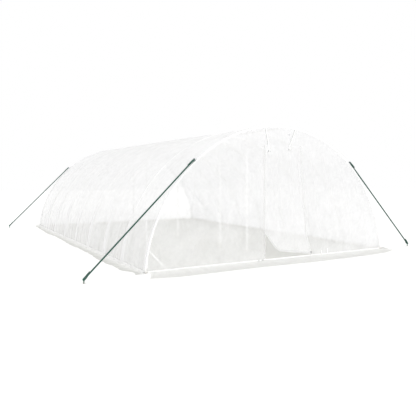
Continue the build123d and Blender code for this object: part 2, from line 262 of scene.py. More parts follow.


# %% [markdown]
# The cover is one large sheet. It lies on the hoops and sags a little in each bay, and drag folds
# run over the bays roughly in line with the hoops. Near the ground the slack gathers in pleats.
# Along each hoop, where it lies close on the white tube, the film is made hazier and so shows
# whiter: painted light that stands in for the tube's light through the film. The film is also
# made less clear on the upper left of the roof and on the right side.
# The sheet's first direction is the way over the arch, from the left edge at the ground to the
# right one, and its second is along the tunnel. A fold pushes the film in or out along the radius.

# %% Film cover over the hoops
film_thickness = 3 * MM
film_radius = arch_radius - film_thickness / 2
cover_step = 0.0275
over_count = round(arch_length / cover_step)
along_count = round((back_y - front_y) / cover_step)
over_line = np.linspace(0, arch_length, over_count + 1)
along_line = np.linspace(front_y, back_y, along_count + 1)
over, along = np.meshgrid(over_line, along_line)
bay_share = np.mod(along - hoop_ys[0], bay_length) / bay_length
between = np.abs(np.sin(math.pi * bay_share))
end_fade = fade_in(along - front_y, 0.05) * fade_in(back_y - along, 0.05)
from_ground = np.minimum(over, arch_length - over)
bay_sag = (11 + swell(over, along, 1.4, 5)) * MM
cover_area = (0, arch_length, front_y, back_y)
round_the_arch = math.pi / 2
folds = np.zeros_like(over)
for count, lean, lengths, widths, height in (
    (36, (round_the_arch, 0.3), (0.9, 2.6), (0.14, 0.28), 40 * MM),
    (26, (0.9, 0.5), (0.6, 1.6), (0.09, 0.18), 26 * MM),
    (10, (round_the_arch, 0.35), (0.3, 1.0), (0.03, 0.05), 8 * MM),
):
    folds += scattered_folds(over, along, count, cover_area, lean, lengths, widths, height)
folds += swell(over, along, 0.6, 5 * MM)
pleat_pitch, pleat_height = 0.5, 16 * MM
pleat_phase = 2 * math.pi * along / pleat_pitch + 3 * np.sin(along * 2.3) + wander(along, 0.9, 1.2)
pleats = pleat_height * np.sin(pleat_phase) * (1 - fade_in(from_ground - 0.05, 0.8))
inward = bay_sag * between + folds * between**0.6 + pleats * between**0.5
furthest_out, furthest_in = -18 * MM, 36 * MM
cover_radius = film_radius - limited(inward, furthest_out, furthest_in) * end_fade
over_angle = over / arch_radius - ground_angle
cover_height = axis_height + cover_radius * np.cos(over_angle)
cover_height = np.maximum(cover_height, 0.5 * MM)
cover_points = to_points(cover_radius * np.sin(over_angle), along, cover_height)

# %% Haze on the cover, and its piece
# The film is made less clear on the right side and on the upper left of the roof.
hazier_right_side = 0.22 * fade_in(over - 0.55 * arch_length, 0.8)
hazier_upper_left = 0.32 * fade_in(over - 1.5, 0.9) * (1 - fade_in(over - 0.45 * arch_length, 0.6))
gathered = 0.04 + 0.14 * np.clip(np.sin(pleat_phase), 0, 1) ** 2
gathered = gathered * (1 - fade_in(from_ground, 1.0))
# Along each hoop the film is made hazier, so it shows whiter: painted light standing in for the
# white tube's light through it.
from_hoop = np.minimum(bay_share, 1 - bay_share) * bay_length
painted_tube_light_width = 0.055
painted_tube_light = 0.6 * np.exp(-np.square(from_hoop / painted_tube_light_width))
painted_tube_light = painted_tube_light * (1 - fade_in(from_ground - 0.5, 0.5))
film_cover = grid_piece(
    "film_cover", [(cover_points, to_points(over, along))],
    haze=[hazier_right_side + hazier_upper_left + gathered + painted_tube_light],
)
cover_strips = [name for name in nodes if name.endswith("_cover")]
place(film_cover, "greenhouse_film", *cover_strips)
print("film cover faces:", len(film_cover.data.polygons), "strips replaced:", len(cover_strips))

# %% [markdown]
# At the ground the film is doubled and welded to its flap, and the seam stands round as a low
# white bead. It catches the light, so each foot of the tunnel shows as a pale line. A seam is a
# strip: one short section, drawn along the foot. It belongs to the cover's sheet of film.

# %% Foot seams and the cover's sheet
# Sections are (across, lift) in mm.
seam_section = ((0, 34), (6, 33), (9, 31), (9, 28), (16, 24), (22, 17), (26, 9), (26, 3), (24, 0.6))
seam_y = np.linspace(front_y + 2 * MM, back_y - 2 * MM, 420)
seam_wander = 1 + wander(seam_y, 0.5, 0.13)
foot_x = film_half_width - 4 * MM
side_seams = []
for side, name in ((-1, "left_foot_seam"), (1, "right_foot_seam")):
    line = to_points(side * foot_x, seam_y, 0)
    seam = strip(name, line, (side, 0, 0), (0, 0, 1), seam_section, seam_wander)
    side_seams.append(place(seam, "greenhouse_film"))
print("foot seams:", [round(seam.dimensions.z, 3) for seam in side_seams], "m high")

# %% [markdown]
# A gable is a flat sheet cut to the arch. The front one has the doorway in it, so it is made as
# three grids that share their edges: left of the door, over it and right of it. They take their
# folds from one function of the place on the gable, so the folds run on from grid to grid.

# %% Sizes and folds of the front gable
gable_y = front_y - film_thickness / 2
over_door_low, over_door_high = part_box("front_gable_over_door")
door_left, door_top = over_door_low[0], over_door_low[2]
door_right_top = over_door_high[0]
hem_low, hem_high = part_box("front_hem")
hem_top = hem_high[2]
panel_low, panel_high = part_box("door_panel")
panel_lap = door_left - panel_low[0]
door_right_foot = panel_high[0] - panel_lap
door_foot_height = panel_low[2]
door_knee = (0.555, 0.45)
gable_step = 0.025
gable_foot = 2 * MM
# Each fold has its start and end as (x, z), its width, its height in mm and its bow.
front_folds = (
    ((-1.88, 1.50), (-1.44, 0.80), 0.045, 20, -0.04),
    ((-1.56, 1.74), (-1.00, 1.00), 0.050, 22, 0.06),
    ((-1.47, 1.30), (-1.14, 0.58), 0.040, 15, 0.04),
    ((-1.50, 1.80), (-0.62, 1.25), 0.040, 16, 0.04),
    ((-2.05, 1.20), (-1.60, 0.25), 0.040, 15, -0.05),
    ((-1.15, 1.95), (-0.45, 1.45), 0.035, 14, 0.03),
    ((-1.00, 1.15), (-0.70, 0.35), 0.045, 14, 0.03),
    ((-0.80, 2.05), (-0.60, 0.60), 0.035, 12, -0.03),
    ((0.62, 2.05), (0.80, 0.90), 0.040, 15, 0.02),
    ((0.95, 1.95), (1.28, 0.20), 0.050, 18, 0.06),
    ((1.30, 1.80), (1.75, 0.15), 0.045, 16, 0.06),
    ((1.70, 1.55), (2.10, 0.15), 0.040, 14, 0.04),
    ((0.75, 1.20), (1.05, 0.10), 0.040, 12, -0.03),
    ((-2.14, 0.73), (-2.22, 0.50), 0.020, 12, 0.0),
)


# %% The doorway's edge, and rows between two edges
def door_right(z):
    """The doorway's right edge: a straight slant that flares at the foot."""
    heights = (hem_top, door_knee[1], door_top)
    edges = (door_right_foot, door_knee[0], door_right_top)
    return np.interp(z, heights, edges)


def blend_rows(low_x, high_x, z, columns):
    """A grid whose rows are level lines from low_x to high_x, at the heights z."""
    share = np.linspace(0, 1, columns + 1)
    x = low_x[:, None] + (high_x - low_x)[:, None] * share
    return x, np.repeat(z[:, None], columns + 1, axis=1)


# %% Folds on an upright sheet
def upright(x, y, z):
    """The points of an upright sheet, and their places on the flat film."""
    return to_points(x, y, z), to_points(x, z)


def add_folds(out, x, z, folds):
    """Adds listed folds to a sheet. Each is (start, end, width, height in mm, bow)."""
    for start, end, width, height, bow in folds:
        out += fold(x, z, start, end, width, height * MM, bow)


def settled(out, x, z):
    """Keeps a gable's folds within limits, and lets them die away at its edges."""
    widest = 2.5
    under_arch = arch_height(np.clip(x, -widest, widest)) - z
    hold = fade_in(under_arch, 0.16) * fade_in(z - 0.02, 0.10)
    return limited(out, -14 * MM, 22 * MM) * hold


def gable_folds(x, z):
    """How far the front gable film stands out towards the viewer."""
    out = swell(x, z, 1.1, 6 * MM)
    add_folds(out, x, z, front_folds)
    area = (-2.4, 2.4, 0.05, 2.1)
    out += scattered_folds(x, z, 44, area, (math.pi, 0.45), (0.3, 1.0), (0.04, 0.09), 16 * MM)
    out += swell(x, z, 0.5, 5 * MM)
    return settled(out, x, z)


def level_grid(low_x, high_x, top):
    """One part of the front gable between two edges, each a function of the height."""
    rows = max(2, round((top - gable_foot) / gable_step))
    z = np.linspace(gable_foot, top, rows + 1)
    widest = float(np.max(high_x(z) - low_x(z)))
    return blend_rows(low_x(z), high_x(z), z, round(widest / gable_step))


# %% Front gable
left_top = float(arch_height(door_left)) - film_thickness
right_top = float(arch_height(door_right_top)) - film_thickness
over_rows = 15
over_columns = round((door_right_top - door_left) / gable_step)
over_x = np.linspace(door_left, door_right_top, over_columns + 1)
over_share = np.linspace(0, 1, over_rows)[:, None]
over_z = door_top + (arch_height(over_x)[None, :] - door_top) * over_share
flats = [
    level_grid(lambda z: -arch_half_width(z), lambda z: np.full_like(z, door_left), left_top),
    level_grid(door_right, arch_half_width, right_top),
    (np.repeat(over_x[None, :], over_rows, axis=0), over_z),
]
state = rng.bit_generator.state
grids = []
for x, z in flats:
    rng.bit_generator.state = state
    grids.append(upright(x, gable_y - gable_folds(x, z), z))
hazes = [0.13 * fade_in(x - 0.2, 1.6) * fade_in(1.2 - z, 0.9) for x, z in flats]
front_gable_film = grid_piece("front_gable_film", grids, haze=hazes)
place(
    front_gable_film, "greenhouse_film",
    "front_gable_left", "front_gable_over_door", "front_gable_right",
)
print("front gable grids:", len(grids), "faces:", len(front_gable_film.data.polygons))

# %% Front hem and the gable's sheet
hem_x = np.linspace(hem_low[0], hem_high[0], 300)
hem_height = (hem_high[2] - hem_low[2]) / MM
hem_section = (
    (0, hem_height), (3, hem_height - 1), (3.4, hem_height - 4), (2.4, hem_height - 5),
    (2.4, hem_height - 6), (3.4, hem_height - 7), (5, 18), (5.6, 12), (4.6, 4), (3.4, 0.6),
)
hem_wander = 1 - np.abs(wander(hem_x, 0.5, 0.05))
line = to_points(hem_x, gable_y - 1 * MM, 0)
gable_hem = strip("gable_hem", line, (0, -1, 0), (0, 0, 1), hem_section, hem_wander)
place(gable_hem, "greenhouse_film", "front_hem")

# %% [markdown]
# The back gable has no doorway, so it is a single grid from edge to edge of the arch. Its folds
# are narrower than the front's. The bead at its foot is the front hem's section made lower.

# %% Back gable film
rows = round(film_top / gable_step)
back_z = np.linspace(gable_foot, film_top - film_thickness, rows + 1)
half = arch_half_width(back_z)
x, z = blend_rows(-half, half, back_z, round(2 * film_half_width / gable_step))
sag = swell(x, z, 1.2, 5 * MM)
for count, area, lengths, widths, height in (
    (26, (-2.2, 2.2, 0.6, 2.2), (0.7, 1.5), (0.018, 0.03), 11 * MM),
    (60, (-2.4, 2.4, 0.1, 2.1), (0.25, 0.8), (0.010, 0.024), 7 * MM),
):
    sag += scattered_folds(x, z, count, area, (math.pi, 0.5), lengths, widths, height)
back_sheet = upright(x, back_y + film_thickness / 2 + settled(sag, x, z), z)
back_gable_film = grid_piece("back_gable_film", [back_sheet], haze=[np.full_like(x, 0.06)])
place(back_gable_film, "greenhouse_film", "back_gable")
line = to_points(hem_x, back_y + 1.5 * MM, 0)
back_seam = strip("back_foot_seam", line, (0, 1, 0), (0, 0, 1), hem_section, 0.4 * hem_wander)
place(back_seam, "greenhouse_film")
print("back gable faces:", len(back_gable_film.data.polygons))

# %% [markdown]
# The door panel is a sheet that hangs over the doorway from above. Its zips are open at the foot,
# and the lower left corner is drawn across and curls towards the viewer. Its rows run level from
# the left edge, which bends away near the foot, to the slanting right edge.

# %% Sizes and folds of the door panel
panel_y = gable_y - 4.5 * MM
panel_top = panel_high[2]
panel_step = 0.02
panel_columns = 44
# The drawn edge passes through these heights and (x, z) points.
curl_height = 0.52
curl_middle = (-0.205, 0.33)
curl_foot = (-0.02, 0.16)
curl_depth = 26 * MM
panel_folds = (
    ((-0.26, 1.90), (-0.10, 0.60), 0.035, 14, 0.03),
    ((-0.05, 1.95), (0.02, 0.30), 0.040, 15, -0.03),
    ((0.18, 1.92), (0.30, 0.50), 0.035, 13, 0.03),
    ((0.38, 1.93), (0.44, 1.05), 0.020, 20, -0.01),
    ((-0.18, 1.10), (0.20, 0.22), 0.035, 12, 0.04),
)


def panel_left(z):
    """The panel's left edge, with its lower corner drawn across."""
    heights, edges = np.transpose((
        (door_foot_height, door_right_foot + panel_lap), curl_foot[::-1], (0.235, -0.125),
        curl_middle[::-1], (0.44, -0.285), (curl_height, panel_low[0]), (panel_top, panel_low[0]),
    ))
    return np.interp(z, heights, edges)


def panel_right(z):
    """The panel's right edge, one lap past the doorway."""
    return door_right(z) + panel_lap


def drawn_aside(z):
    """How much the open corner is drawn aside: all of it at the foot, and none above the curl."""
    return 1 - fade_in(z - 0.30, 0.30)


# %% The panel's sheet
rows = round((panel_top - door_foot_height) / panel_step)
panel_z = np.linspace(door_foot_height, panel_top, rows + 1)
x, z = blend_rows(panel_left(panel_z), panel_right(panel_z), panel_z, panel_columns)
from_left, from_right = x - panel_left(z), panel_right(z) - x
out = swell(x, z, 0.8, 4 * MM)
add_folds(out, x, z, panel_folds)
area = (-0.3, 0.45, 0.2, 1.8)
out += scattered_folds(x, z, 16, area, (math.pi, 0.3), (0.3, 0.8), (0.010, 0.02), 6 * MM)
held = fade_in(panel_top - z, 0.08) * fade_in(from_left + 0.02, 0.08) * fade_in(from_right, 0.05)
curl = (1 - fade_in(from_left, 0.10)) * drawn_aside(z)
y = panel_y - limited(out, 0, 22 * MM) * held - curl_depth * curl
doubled = 0.02 + 0.20 * (1 - fade_in(z - 0.15, 1.2))
door_film = grid_piece("door_film", [upright(x, y, z)], haze=[doubled])
place(door_film, "greenhouse_film", "door_panel")
print("door panel faces:", len(door_film.data.polygons))

# %% [markdown]
# A zip is a woven tape with a row of teeth along its middle. The left one is open below the
# slider, so half of its tape hangs on the doorway's edge and half on the drawn panel. The tapes
# are strips with a raised welt beside the teeth. One tooth is made as a small bevelled bar and
# repeated along the zip; its real spacing is 3 mm, and 8 mm is what shows here.

# %% Sizes of the zips
zip_low, zip_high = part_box("door_zips")
zip_foot, zip_top = zip_low[2], zip_high[2]
zip_half = panel_low[0] - zip_low[0]
tape_y = zip_high[1]
tape_shape = ((-1, 0.3), (-0.35, 0.5), (-0.3, 1.2), (0, 1.5), (0.3, 1.2), (0.35, 0.5), (1, 0.3))
full_tape = [(share * zip_half / MM, lift) for share, lift in tape_shape]
left_half_tape, right_half_tape = full_tape[:4], full_tape[3:]
tape_step = 0.02
hem_gap = 4 * MM
hanging_out = 20 * MM


def doorway_left(z):
    """The doorway's left edge, where the left zip is sewn."""
    return np.full_like(z, panel_low[0])


# %% Zip lines and their tapes
def zip_line(edge, low_z, high_z, step_out):
    """Points down an edge of the door, which is a function of the height, and the way across."""
    z = np.linspace(high_z, low_z, max(8, round((high_z - low_z) / tape_step)))
    line = to_points(edge(z), tape_y, z)
    down = np.gradient(line, axis=0)
    down /= np.linalg.norm(down, axis=1)[:, None]
    line[:, 1] -= step_out * drawn_aside(z)
    return line, np.cross(down, (0, -1, 0))


gable_half = (doorway_left, hem_top + hem_gap, curl_height, 0)
panel_half = (panel_left, door_foot_height + hem_gap, curl_height, hanging_out)
zip_lines, zip_pieces = {}, []
for name, section, run in (
    ("left_zip_tape", full_tape, (doorway_left, curl_height, zip_top, 0)),
    ("left_zip_gable_half", left_half_tape, gable_half),
    ("left_zip_panel_half", right_half_tape, panel_half),
    ("right_zip_tape", full_tape, (panel_right, zip_foot, zip_top, 0)),
):
    line, across = zip_lines[name] = zip_line(*run)
    replaced = ["door_zips"] if name == "left_zip_tape" else []
    tape = strip(name, line, across, (0, -1, 0), section)
    zip_pieces.append(place(tape, "zip_tape", *replaced))
print("zip tapes:", len(zip_pieces), "half width", round(float(zip_half) / MM, 1), "mm")

# %% One tooth, and a row of them
deselect_all()
bpy.ops.mesh.primitive_cube_add(size=1, scale=(8 * MM, 2.4 * MM, 4.4 * MM))
tooth = named("zip_tooth")
apply_place(tooth)
bpy.ops.object.mode_set(mode="EDIT")
bpy.ops.mesh.select_all(action="SELECT")
bpy.ops.mesh.bevel(offset=0.9 * MM, segments=1)
bpy.ops.object.mode_set(mode="OBJECT")
tooth_points = np.array([v.co for v in tooth.data.vertices])
tooth_faces = [tuple(f.vertices) for f in tooth.data.polygons]
bpy.data.objects.remove(tooth)
tooth_pitch = 8 * MM
tooth_lift = (0, -1.6 * MM, 0)


def teeth(name, line, across):
    """A row of teeth along a line, as one mesh."""
    run = run_lengths(line)
    at = np.arange(tooth_pitch, run[-1] - tooth_pitch, tooth_pitch)
    middles, ways = read_along(line, run, at), read_along(across, run, at)
    points, faces = [], []
    for middle, way in zip(middles, ways):
        turn = np.stack((way, (0, -1, 0), np.cross(way, (0, -1, 0))))
        faces.extend(tuple(corner + len(points) for corner in face) for face in tooth_faces)
        points.extend(tuple(point) for point in middle + tooth_lift + tooth_points @ turn)
    mesh = bpy.data.meshes.new(name)
    mesh.from_pydata(points, [], faces)
    print(name, len(at), "teeth")
    return place(in_scene(name, mesh), "zip_tape")


# %% Teeth on every tape
for name, (line, across) in zip_lines.items():
    zip_pieces.append(teeth(name.replace("_tape", "") + "_teeth", line, across))

# %% [markdown]
# Small fittings. Turned shapes, such as a toggle or a rivet, start as half an outline that is
# spun round in edit mode. The toggles are stubby plastic rods with a waist, where the tie's loop
# sits. The sliders and clips are moulded plastic with soft edges, so they are boxes that are
# tapered, recessed and bevelled.

# %% Turned fittings
smooth_angle = math.radians(40)


def spun(steps, angle, center, axis, merge):
    """Spins the active piece's outline round an axis, and closes the seam and the poles."""
    bpy.ops.object.mode_set(mode="EDIT")
    bpy.ops.mesh.select_all(action="SELECT")
    bpy.ops.mesh.spin(steps=steps, angle=angle, center=center, axis=axis)
    bpy.ops.mesh.select_all(action="SELECT")
    bpy.ops.mesh.remove_doubles(threshold=merge)
    bpy.ops.mesh.normals_make_consistent(inside=False)
    bpy.ops.object.mode_set(mode="OBJECT")


def turned(name, profile, steps=16):
    """A shape turned about Z from (radius, height) pairs in millimetres."""
    mesh = bpy.data.meshes.new(name)
    points = [(radius * MM, 0, height * MM) for radius, height in profile]
    mesh.from_pydata(points, [(i, i + 1) for i in range(len(points) - 1)], [])
    piece = in_scene(name, mesh)
    pick(piece)
    spun(steps, 2 * math.pi, (0, 0, 0), (0, 0, 1), 0.05 * MM)
    bpy.ops.object.shade_smooth_by_angle(angle=smooth_angle)
    return piece


def put(model, name, slot, middle, along, *replaced):
    """A copy of a fitting, with its own mesh, moved to a place and turned to point along a way."""
    piece = in_scene(name, model.data.copy())
    turn = Vector(along).to_track_quat("Z", "Y").to_matrix().to_4x4()
    piece.data.transform(Matrix.Translation(Vector(middle)) @ turn)
    return place(piece, slot, *replaced)


# %% Toggles and eyelet
# Outlines of turned shapes are (radius, height) in mm.
toggle_end = ((0, 23), (4, 23), (6.2, 21.6), (7, 18), (7, 8), (5.8, 5))
toggle_profile = [(radius, -height) for radius, height in toggle_end] + list(toggle_end[::-1])
toggle_half, toggle_radius = 23 * MM, 7 * MM
toggle_model = turned("toggle_model", toggle_profile, steps=20)
low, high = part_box("tie_toggles")
toggle_y = (low[1] + high[1]) / 2
toggle_places = (
    (low[0] + toggle_half, toggle_y, low[2] + toggle_radius),
    (high[0] - toggle_half, toggle_y, high[2] - toggle_radius),
)
sideways = (1, 0, 0)
left_toggle = put(
    toggle_model, "left_toggle", "dark_plastic", toggle_places[0], sideways, "tie_toggles"
)
right_toggle = put(toggle_model, "right_toggle", "dark_plastic", toggle_places[1], sideways)
bpy.data.objects.remove(toggle_model)

eyelet_model = turned("eyelet_model", ((7, 0), (7.4, 1.8), (9, 2.4), (11.4, 1.6), (12.5, 0)))
eyelet_place = (0.20, gable_y - 2 * MM, 2.16)
eyelet = put(eyelet_model, "door_top_eyelet", "zinc_plated_steel", eyelet_place, (0, -1, 0))
bpy.data.objects.remove(eyelet_model)


# %% Moulding a small block
def select_only(piece, keep):
    """Selects the points whose place passes a test, and the edges and faces between them."""
    mesh = piece.data
    for vertex in mesh.vertices:
        vertex.select = bool(keep(vertex.co))
    for part in (*mesh.edges, *mesh.polygons):
        part.select = all(mesh.vertices[i].select for i in part.vertices)


def moulded(name, slot, middle, size, taper, recess):
    """A small moulded block with a narrower top, a sunk face towards -Y and soft edges."""
    deselect_all()
    bpy.ops.mesh.primitive_cube_add(size=1, location=middle, scale=size)
    piece = named(name)
    apply_place(piece)
    select_only(piece, lambda spot: spot.z > middle[2])
    bpy.ops.object.mode_set(mode="EDIT")
    bpy.ops.transform.resize(value=(taper, taper, 1))
    bpy.ops.object.mode_set(mode="OBJECT")
    select_only(piece, lambda spot: spot.y < middle[1])
    bpy.ops.object.mode_set(mode="EDIT")
    bpy.ops.mesh.inset(thickness=0.22 * min(size[0], size[2]), depth=-recess)
    bpy.ops.mesh.select_all(action="SELECT")
    bpy.ops.mesh.bevel(offset=0.06 * min(size), segments=2)
    bpy.ops.object.mode_set(mode="OBJECT")
    bpy.ops.object.shade_smooth_by_angle(angle=smooth_angle)
    return place(piece, slot)


# %% Sliders and clips in place
slider_y = tape_y - 3 * MM
left_slider = moulded(
    "left_zip_slider", "zip_tape", (panel_low[0], slider_y, curl_height + 6 * MM),
    (14 * MM, 5 * MM, 22 * MM), 0.7, 0.8 * MM,
)
right_foot_x = float(panel_right(zip_foot + 14 * MM))
right_slider = moulded(
    "right_zip_slider", "dark_plastic", (right_foot_x, slider_y, zip_foot + 16 * MM),
    (26 * MM, 7 * MM, 30 * MM), 0.75, 1.2 * MM,
)
clips = []
for number, (x, width, height) in enumerate(((-0.452, 16, 26), (-0.372, 42, 20)), 1):
    middle, size = (x, gable_y - 10 * MM, 24 * MM), (width * MM, 9 * MM, height * MM)
    clips.append(moulded(f"foot_clip_{number}", "zip_tape", middle, size, 0.85, 1.5 * MM))
print("fittings: 2 toggles, 1 eyelet, 2 sliders,", len(clips), "clips")

# %% [markdown]
# The ties are flat webbing, sewn on above the door. Each runs down over the panel, round its
# toggle from the front and under it. Two short loops of the same webbing stand at the foot, to
# the right of the door. A thin grey draw cord lies along each tie; it is made with the ropes.

# %% Webbing ties
web_section = ((-12.5, 0.2), (-12.5, 1.4), (-11, 1.8), (11, 1.8), (12.5, 1.4), (12.5, 0.2))
ties_low, ties_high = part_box("door_ties")
tie_top_z = ties_high[2]
tie_tops = (ties_low[0] + 12.3 * MM, ties_high[0] - 11.5 * MM)
straight_points = 24
wrap_degrees = 215


# %% Lines and strips of the ties
def tie_line(top_x, toggle_place):
    """Points down a tie, and round the front and the underside of its toggle."""
    x, y, z = toggle_place
    reach = toggle_radius + 0.8 * MM
    points = [
        (top_x + (x - top_x) * share, tape_y, tie_top_z + (z + 55 * MM - tie_top_z) * share)
        for share in np.linspace(0, 1, straight_points)
    ]
    points += [(x, tape_y - 6 * MM, z + 28 * MM), (x, y - 0.8 * reach, z + 10 * MM)]
    for turn in np.linspace(0, wrap_degrees, 12):
        angle = math.radians(turn)
        points.append((x, y - reach * math.cos(angle), z - reach * math.sin(angle)))
    return np.array(points)


def web(name, line, *replaced):
    """A strip of webbing along a line, flat to X."""
    out = np.cross(np.gradient(line, axis=0), sideways)
    out = (out / np.linalg.norm(out, axis=1)[:, None])[:, None]
    across, lift = np.array(web_section).T * MM
    points = line[:, None] + np.array(sideways) * across[:, None] + out * lift[:, None]
    flat = np.meshgrid(run_lengths(line), across, indexing="ij")
    return place(grid_piece(name, [(points, to_points(*flat))]), "white_webbing", *replaced)


# %% Ties and foot loops
tie_lines = [tie_line(top_x, spot) for top_x, spot in zip(tie_tops, toggle_places)]
ties = [web("left_tie", tie_lines[0], "door_ties"), web("right_tie", tie_lines[1])]
for number, x in enumerate((0.94, 1.085), 1):
    heights = np.linspace(2, 115, 12) * MM
    bulge = 5 * MM * np.sin(np.linspace(0, math.pi, 12))
    stand = to_points(x, gable_y - 7 * MM - bulge, heights)
    ties.append(web(f"foot_loop_{number}", stand[::-1]))
print("webbing pieces:", len(ties))

# %% [markdown]
# The flaps lie on the ground and are buried or weighted in use. Their film is slack, so its outer
# edge wanders and it lies in pleats that start at the wall and run outwards. A flap is a grid from
# the wall's foot to the outer edge, lifted by the pleats, and it always stays above the ground.


# %% Ground flaps
flap_rise = 8 * MM
flap_pitch = 0.30
flap_rows = 15
lowest_film = 2.2 * MM


def smooth_line(at, places, values):
    """A smooth curve through a few values, evened out between them."""
    fine = np.linspace(places[0], places[-1], 400)
    line = np.interp(fine, places, values)
    pad = np.pad(line, 12, mode="edge")
    line = np.convolve(pad, np.hanning(25) / np.hanning(25).sum(), mode="valid")
    return np.interp(at, fine, line)


def flap_points(inner, outer, phase, slack):
    """A flap's points from its inner line to its outer one, both arrays of places on the ground."""
    share = np.linspace(0, 1, flap_rows)[:, None]
    ground = inner[None] + (outer - inner)[None] * share[..., None]
    wave = np.sin(phase) * 0.6 + 0.4 * np.sin(phase * 1.83 + 1.0)
    crest = np.clip(wave, 0, None) ** 1.2
    lift = slack * crest * (0.35 + 0.65 * np.sin(math.pi * np.clip(share * 0.9 + 0.05, 0, 1)))
    height = flap_rise * (1 - share) ** 2.2 + lift + lowest_film
    return np.concatenate((ground, height[..., None]), axis=-1)


def flap(name, inner, outer, slack, node):
    run = run_lengths(inner)
    phase = 2 * math.pi * run / flap_pitch + wander(run, 1.3, 2.2)
    points = flap_points(inner, outer, phase, slack)
    # The soil mark runs from the wall to the outer edge. The finish greys the film along it: partly
    # dirt, and partly a painted shade of the pleats and the hem at the edge.
    outwards = np.linspace(0, 1, flap_rows)[:, None] + 0 * phase
    piece = grid_piece(name, [(points, points[..., :2])], soil=[outwards])
    place(piece, "greenhouse_film", node)
    return piece


# %% Side flaps
# The left flap's outer edge: (distance along from the door corner, x).
left_edge = np.array((
    (-0.098, -2.66), (0.027, -2.74), (0.05, -2.53), (0.367, -2.74), (0.721, -2.71),
    (0.999, -2.74), (1.494, -2.74), (2.15, -2.699), (2.925, -2.676), (3.596, -2.706),
    (4.503, -2.661), (5.245, -2.654), (5.979, -2.692), (7.171, -2.636), (8.06, -2.60),
))
door_corner = -4.0
side_slack, end_slack = 20 * MM, 12 * MM
side_y = np.linspace(front_y - 0.05, back_y + 0.05, 400)
left_x = smooth_line(side_y - door_corner, *left_edge.T) + wander(side_y, 0.35, 8 * MM)
left_flap = flap(
    "left_flap", to_points(-foot_x, side_y), to_points(left_x, side_y),
    side_slack, "left_skirt",
)
right_x = 2.70 + wander(side_y, 1.5, 22 * MM) + wander(side_y, 0.35, 8 * MM)
right_flap = flap(
    "right_flap", to_points(foot_x, side_y), to_points(np.minimum(right_x, 2.76), side_y),
    side_slack, "right_skirt",
)
print("side flaps:", [round(side.dimensions.x, 3) for side in (left_flap, right_flap)], "m wide")

# %% End flaps
# The front flap's outer edge: (x, y from the door corner).
front_edge = np.array((
    (-2.585, -0.397), (-2.45, -0.435), (-2.16, -0.481), (-2.0, -0.489), (-1.4, -0.462),
    (-0.741, -0.447), (-0.02, -0.483), (0.425, -0.486), (0.979, -0.477), (1.5, -0.44),
    (2.089, -0.367), (2.44, -0.208),
))
furthest = 0.5
share = np.linspace(0, 1, 260)
edge_share = (front_edge[:, 0] - front_edge[0, 0]) / (front_edge[-1, 0] - front_edge[0, 0])
outer_x = np.interp(share, (0, 1), (-2.585, 2.62))
inner_x = np.interp(share, (0, 1), (-2.39, 2.42))
front_edge_y = door_corner + smooth_line(share, edge_share, front_edge[:, 1])
front_edge_y = np.maximum(front_edge_y + wander(outer_x, 0.3, 5 * MM), door_corner - furthest)
front_flap = flap(
    "front_flap", to_points(inner_x, gable_y - 1 * MM), to_points(outer_x, front_edge_y),
    end_slack, "front_skirt",
)
back_edge_y = -door_corner + 0.46 + wander(share * 5, 1.6, 14 * MM)
back_edge_y = np.minimum(back_edge_y, -door_corner + furthest)
back_flap = flap(
    "back_flap", to_points(inner_x, back_y + 2.5 * MM), to_points(outer_x, back_edge_y),
    end_slack, "back_skirt",
)
print("end flaps:", [round(end.dimensions.y, 3) for end in (front_flap, back_flap)], "m wide")

# %% [markdown]
# The hoops are bent tube. The solids have short straight runs to stay light, so each is replaced
# by a smooth one here: a ring of sixteen points at the foot is spun round the tunnel's axis in
# edit mode, which is how a round bend is made by hand.

# %% Smooth hoops
hoop_radius = arch_radius - 3.3 * MM - tube_radius
foot_height = hoop_boxes[0][0][2]
foot_angle = math.acos((foot_height + 2 * MM - axis_height) / hoop_radius)
foot_z = axis_height + hoop_radius * math.cos(foot_angle)
deselect_all()
bpy.ops.mesh.primitive_circle_add(vertices=16, radius=tube_radius, fill_type="NOTHING")
ring = named("hoop_ring")
ring.location = (-hoop_radius * math.sin(foot_angle), 0, foot_z)
ring.rotation_euler = (0, math.pi / 2 - foot_angle, 0)
apply_place(ring)
spun(72, 2 * foot_angle, (0, 0, axis_height), (0, -1, 0), 0.1 * MM)
bpy.ops.object.shade_smooth()
span = [round(v, 3) for v in ring.dimensions]
hoops = []
for name, y in zip(hoop_names, hoop_ys):
    tube = in_scene(f"{name}_tube", ring.data.copy())
    tube.data.transform(Matrix.Translation((0, y, 0)))
    hoops.append(place(tube, "coated_steel_tube", name))
bpy.data.objects.remove(ring)
print("hoops:", len(hoops), "each", span)

# %% [markdown]
# Bolts hold the frame together: one through each hoop's foot into the spigot inside it, and one
# at each end of a brace. A bolt head is a six-sided prism with its top edge bevelled round, on a
# turned washer. It is modelled once and copied to each place, pointing the way the hole runs. The
# same goes for the rivets that hold each guy hook's pad.

# %% One bolt
deselect_all()
bpy.ops.mesh.primitive_cylinder_add(
    vertices=6, radius=7.5 * MM, depth=5 * MM, location=(0, 0, 3.8 * MM)
)
head = named("bolt_head")
apply_place(head)
select_only(head, lambda spot: spot.z > 3.8 * MM)
bpy.ops.object.mode_set(mode="EDIT")
bpy.ops.mesh.bevel(offset=1.2 * MM, segments=2)
bpy.ops.object.mode_set(mode="OBJECT")
washer = turned("bolt_washer", ((0, 1.4), (9.6, 1.4), (10.2, 0.9), (10.2, 0), (0, 0)))
pick(washer, head)
bpy.ops.object.join()
bolt_model = named("bolt_model")
fasteners = []

# %% Hoop bolts
hoop_bolt_height = 52 * MM
turn = math.acos((hoop_bolt_height - axis_height) / hoop_radius)
across, up = math.sin(turn), math.cos(turn)
inner_face = hoop_radius - tube_radius
for number, y in enumerate(hoop_ys, 1):
    for side, side_name in ((-1, "left"), (1, "right")):
        middle = (side * inner_face * across, y, axis_height + inner_face * up)
        name, inwards = f"hoop_{number}_{side_name}_bolt", (-side * across, 0, -up)
        fasteners.append(put(bolt_model, name, "zinc_plated_steel", middle, inwards))

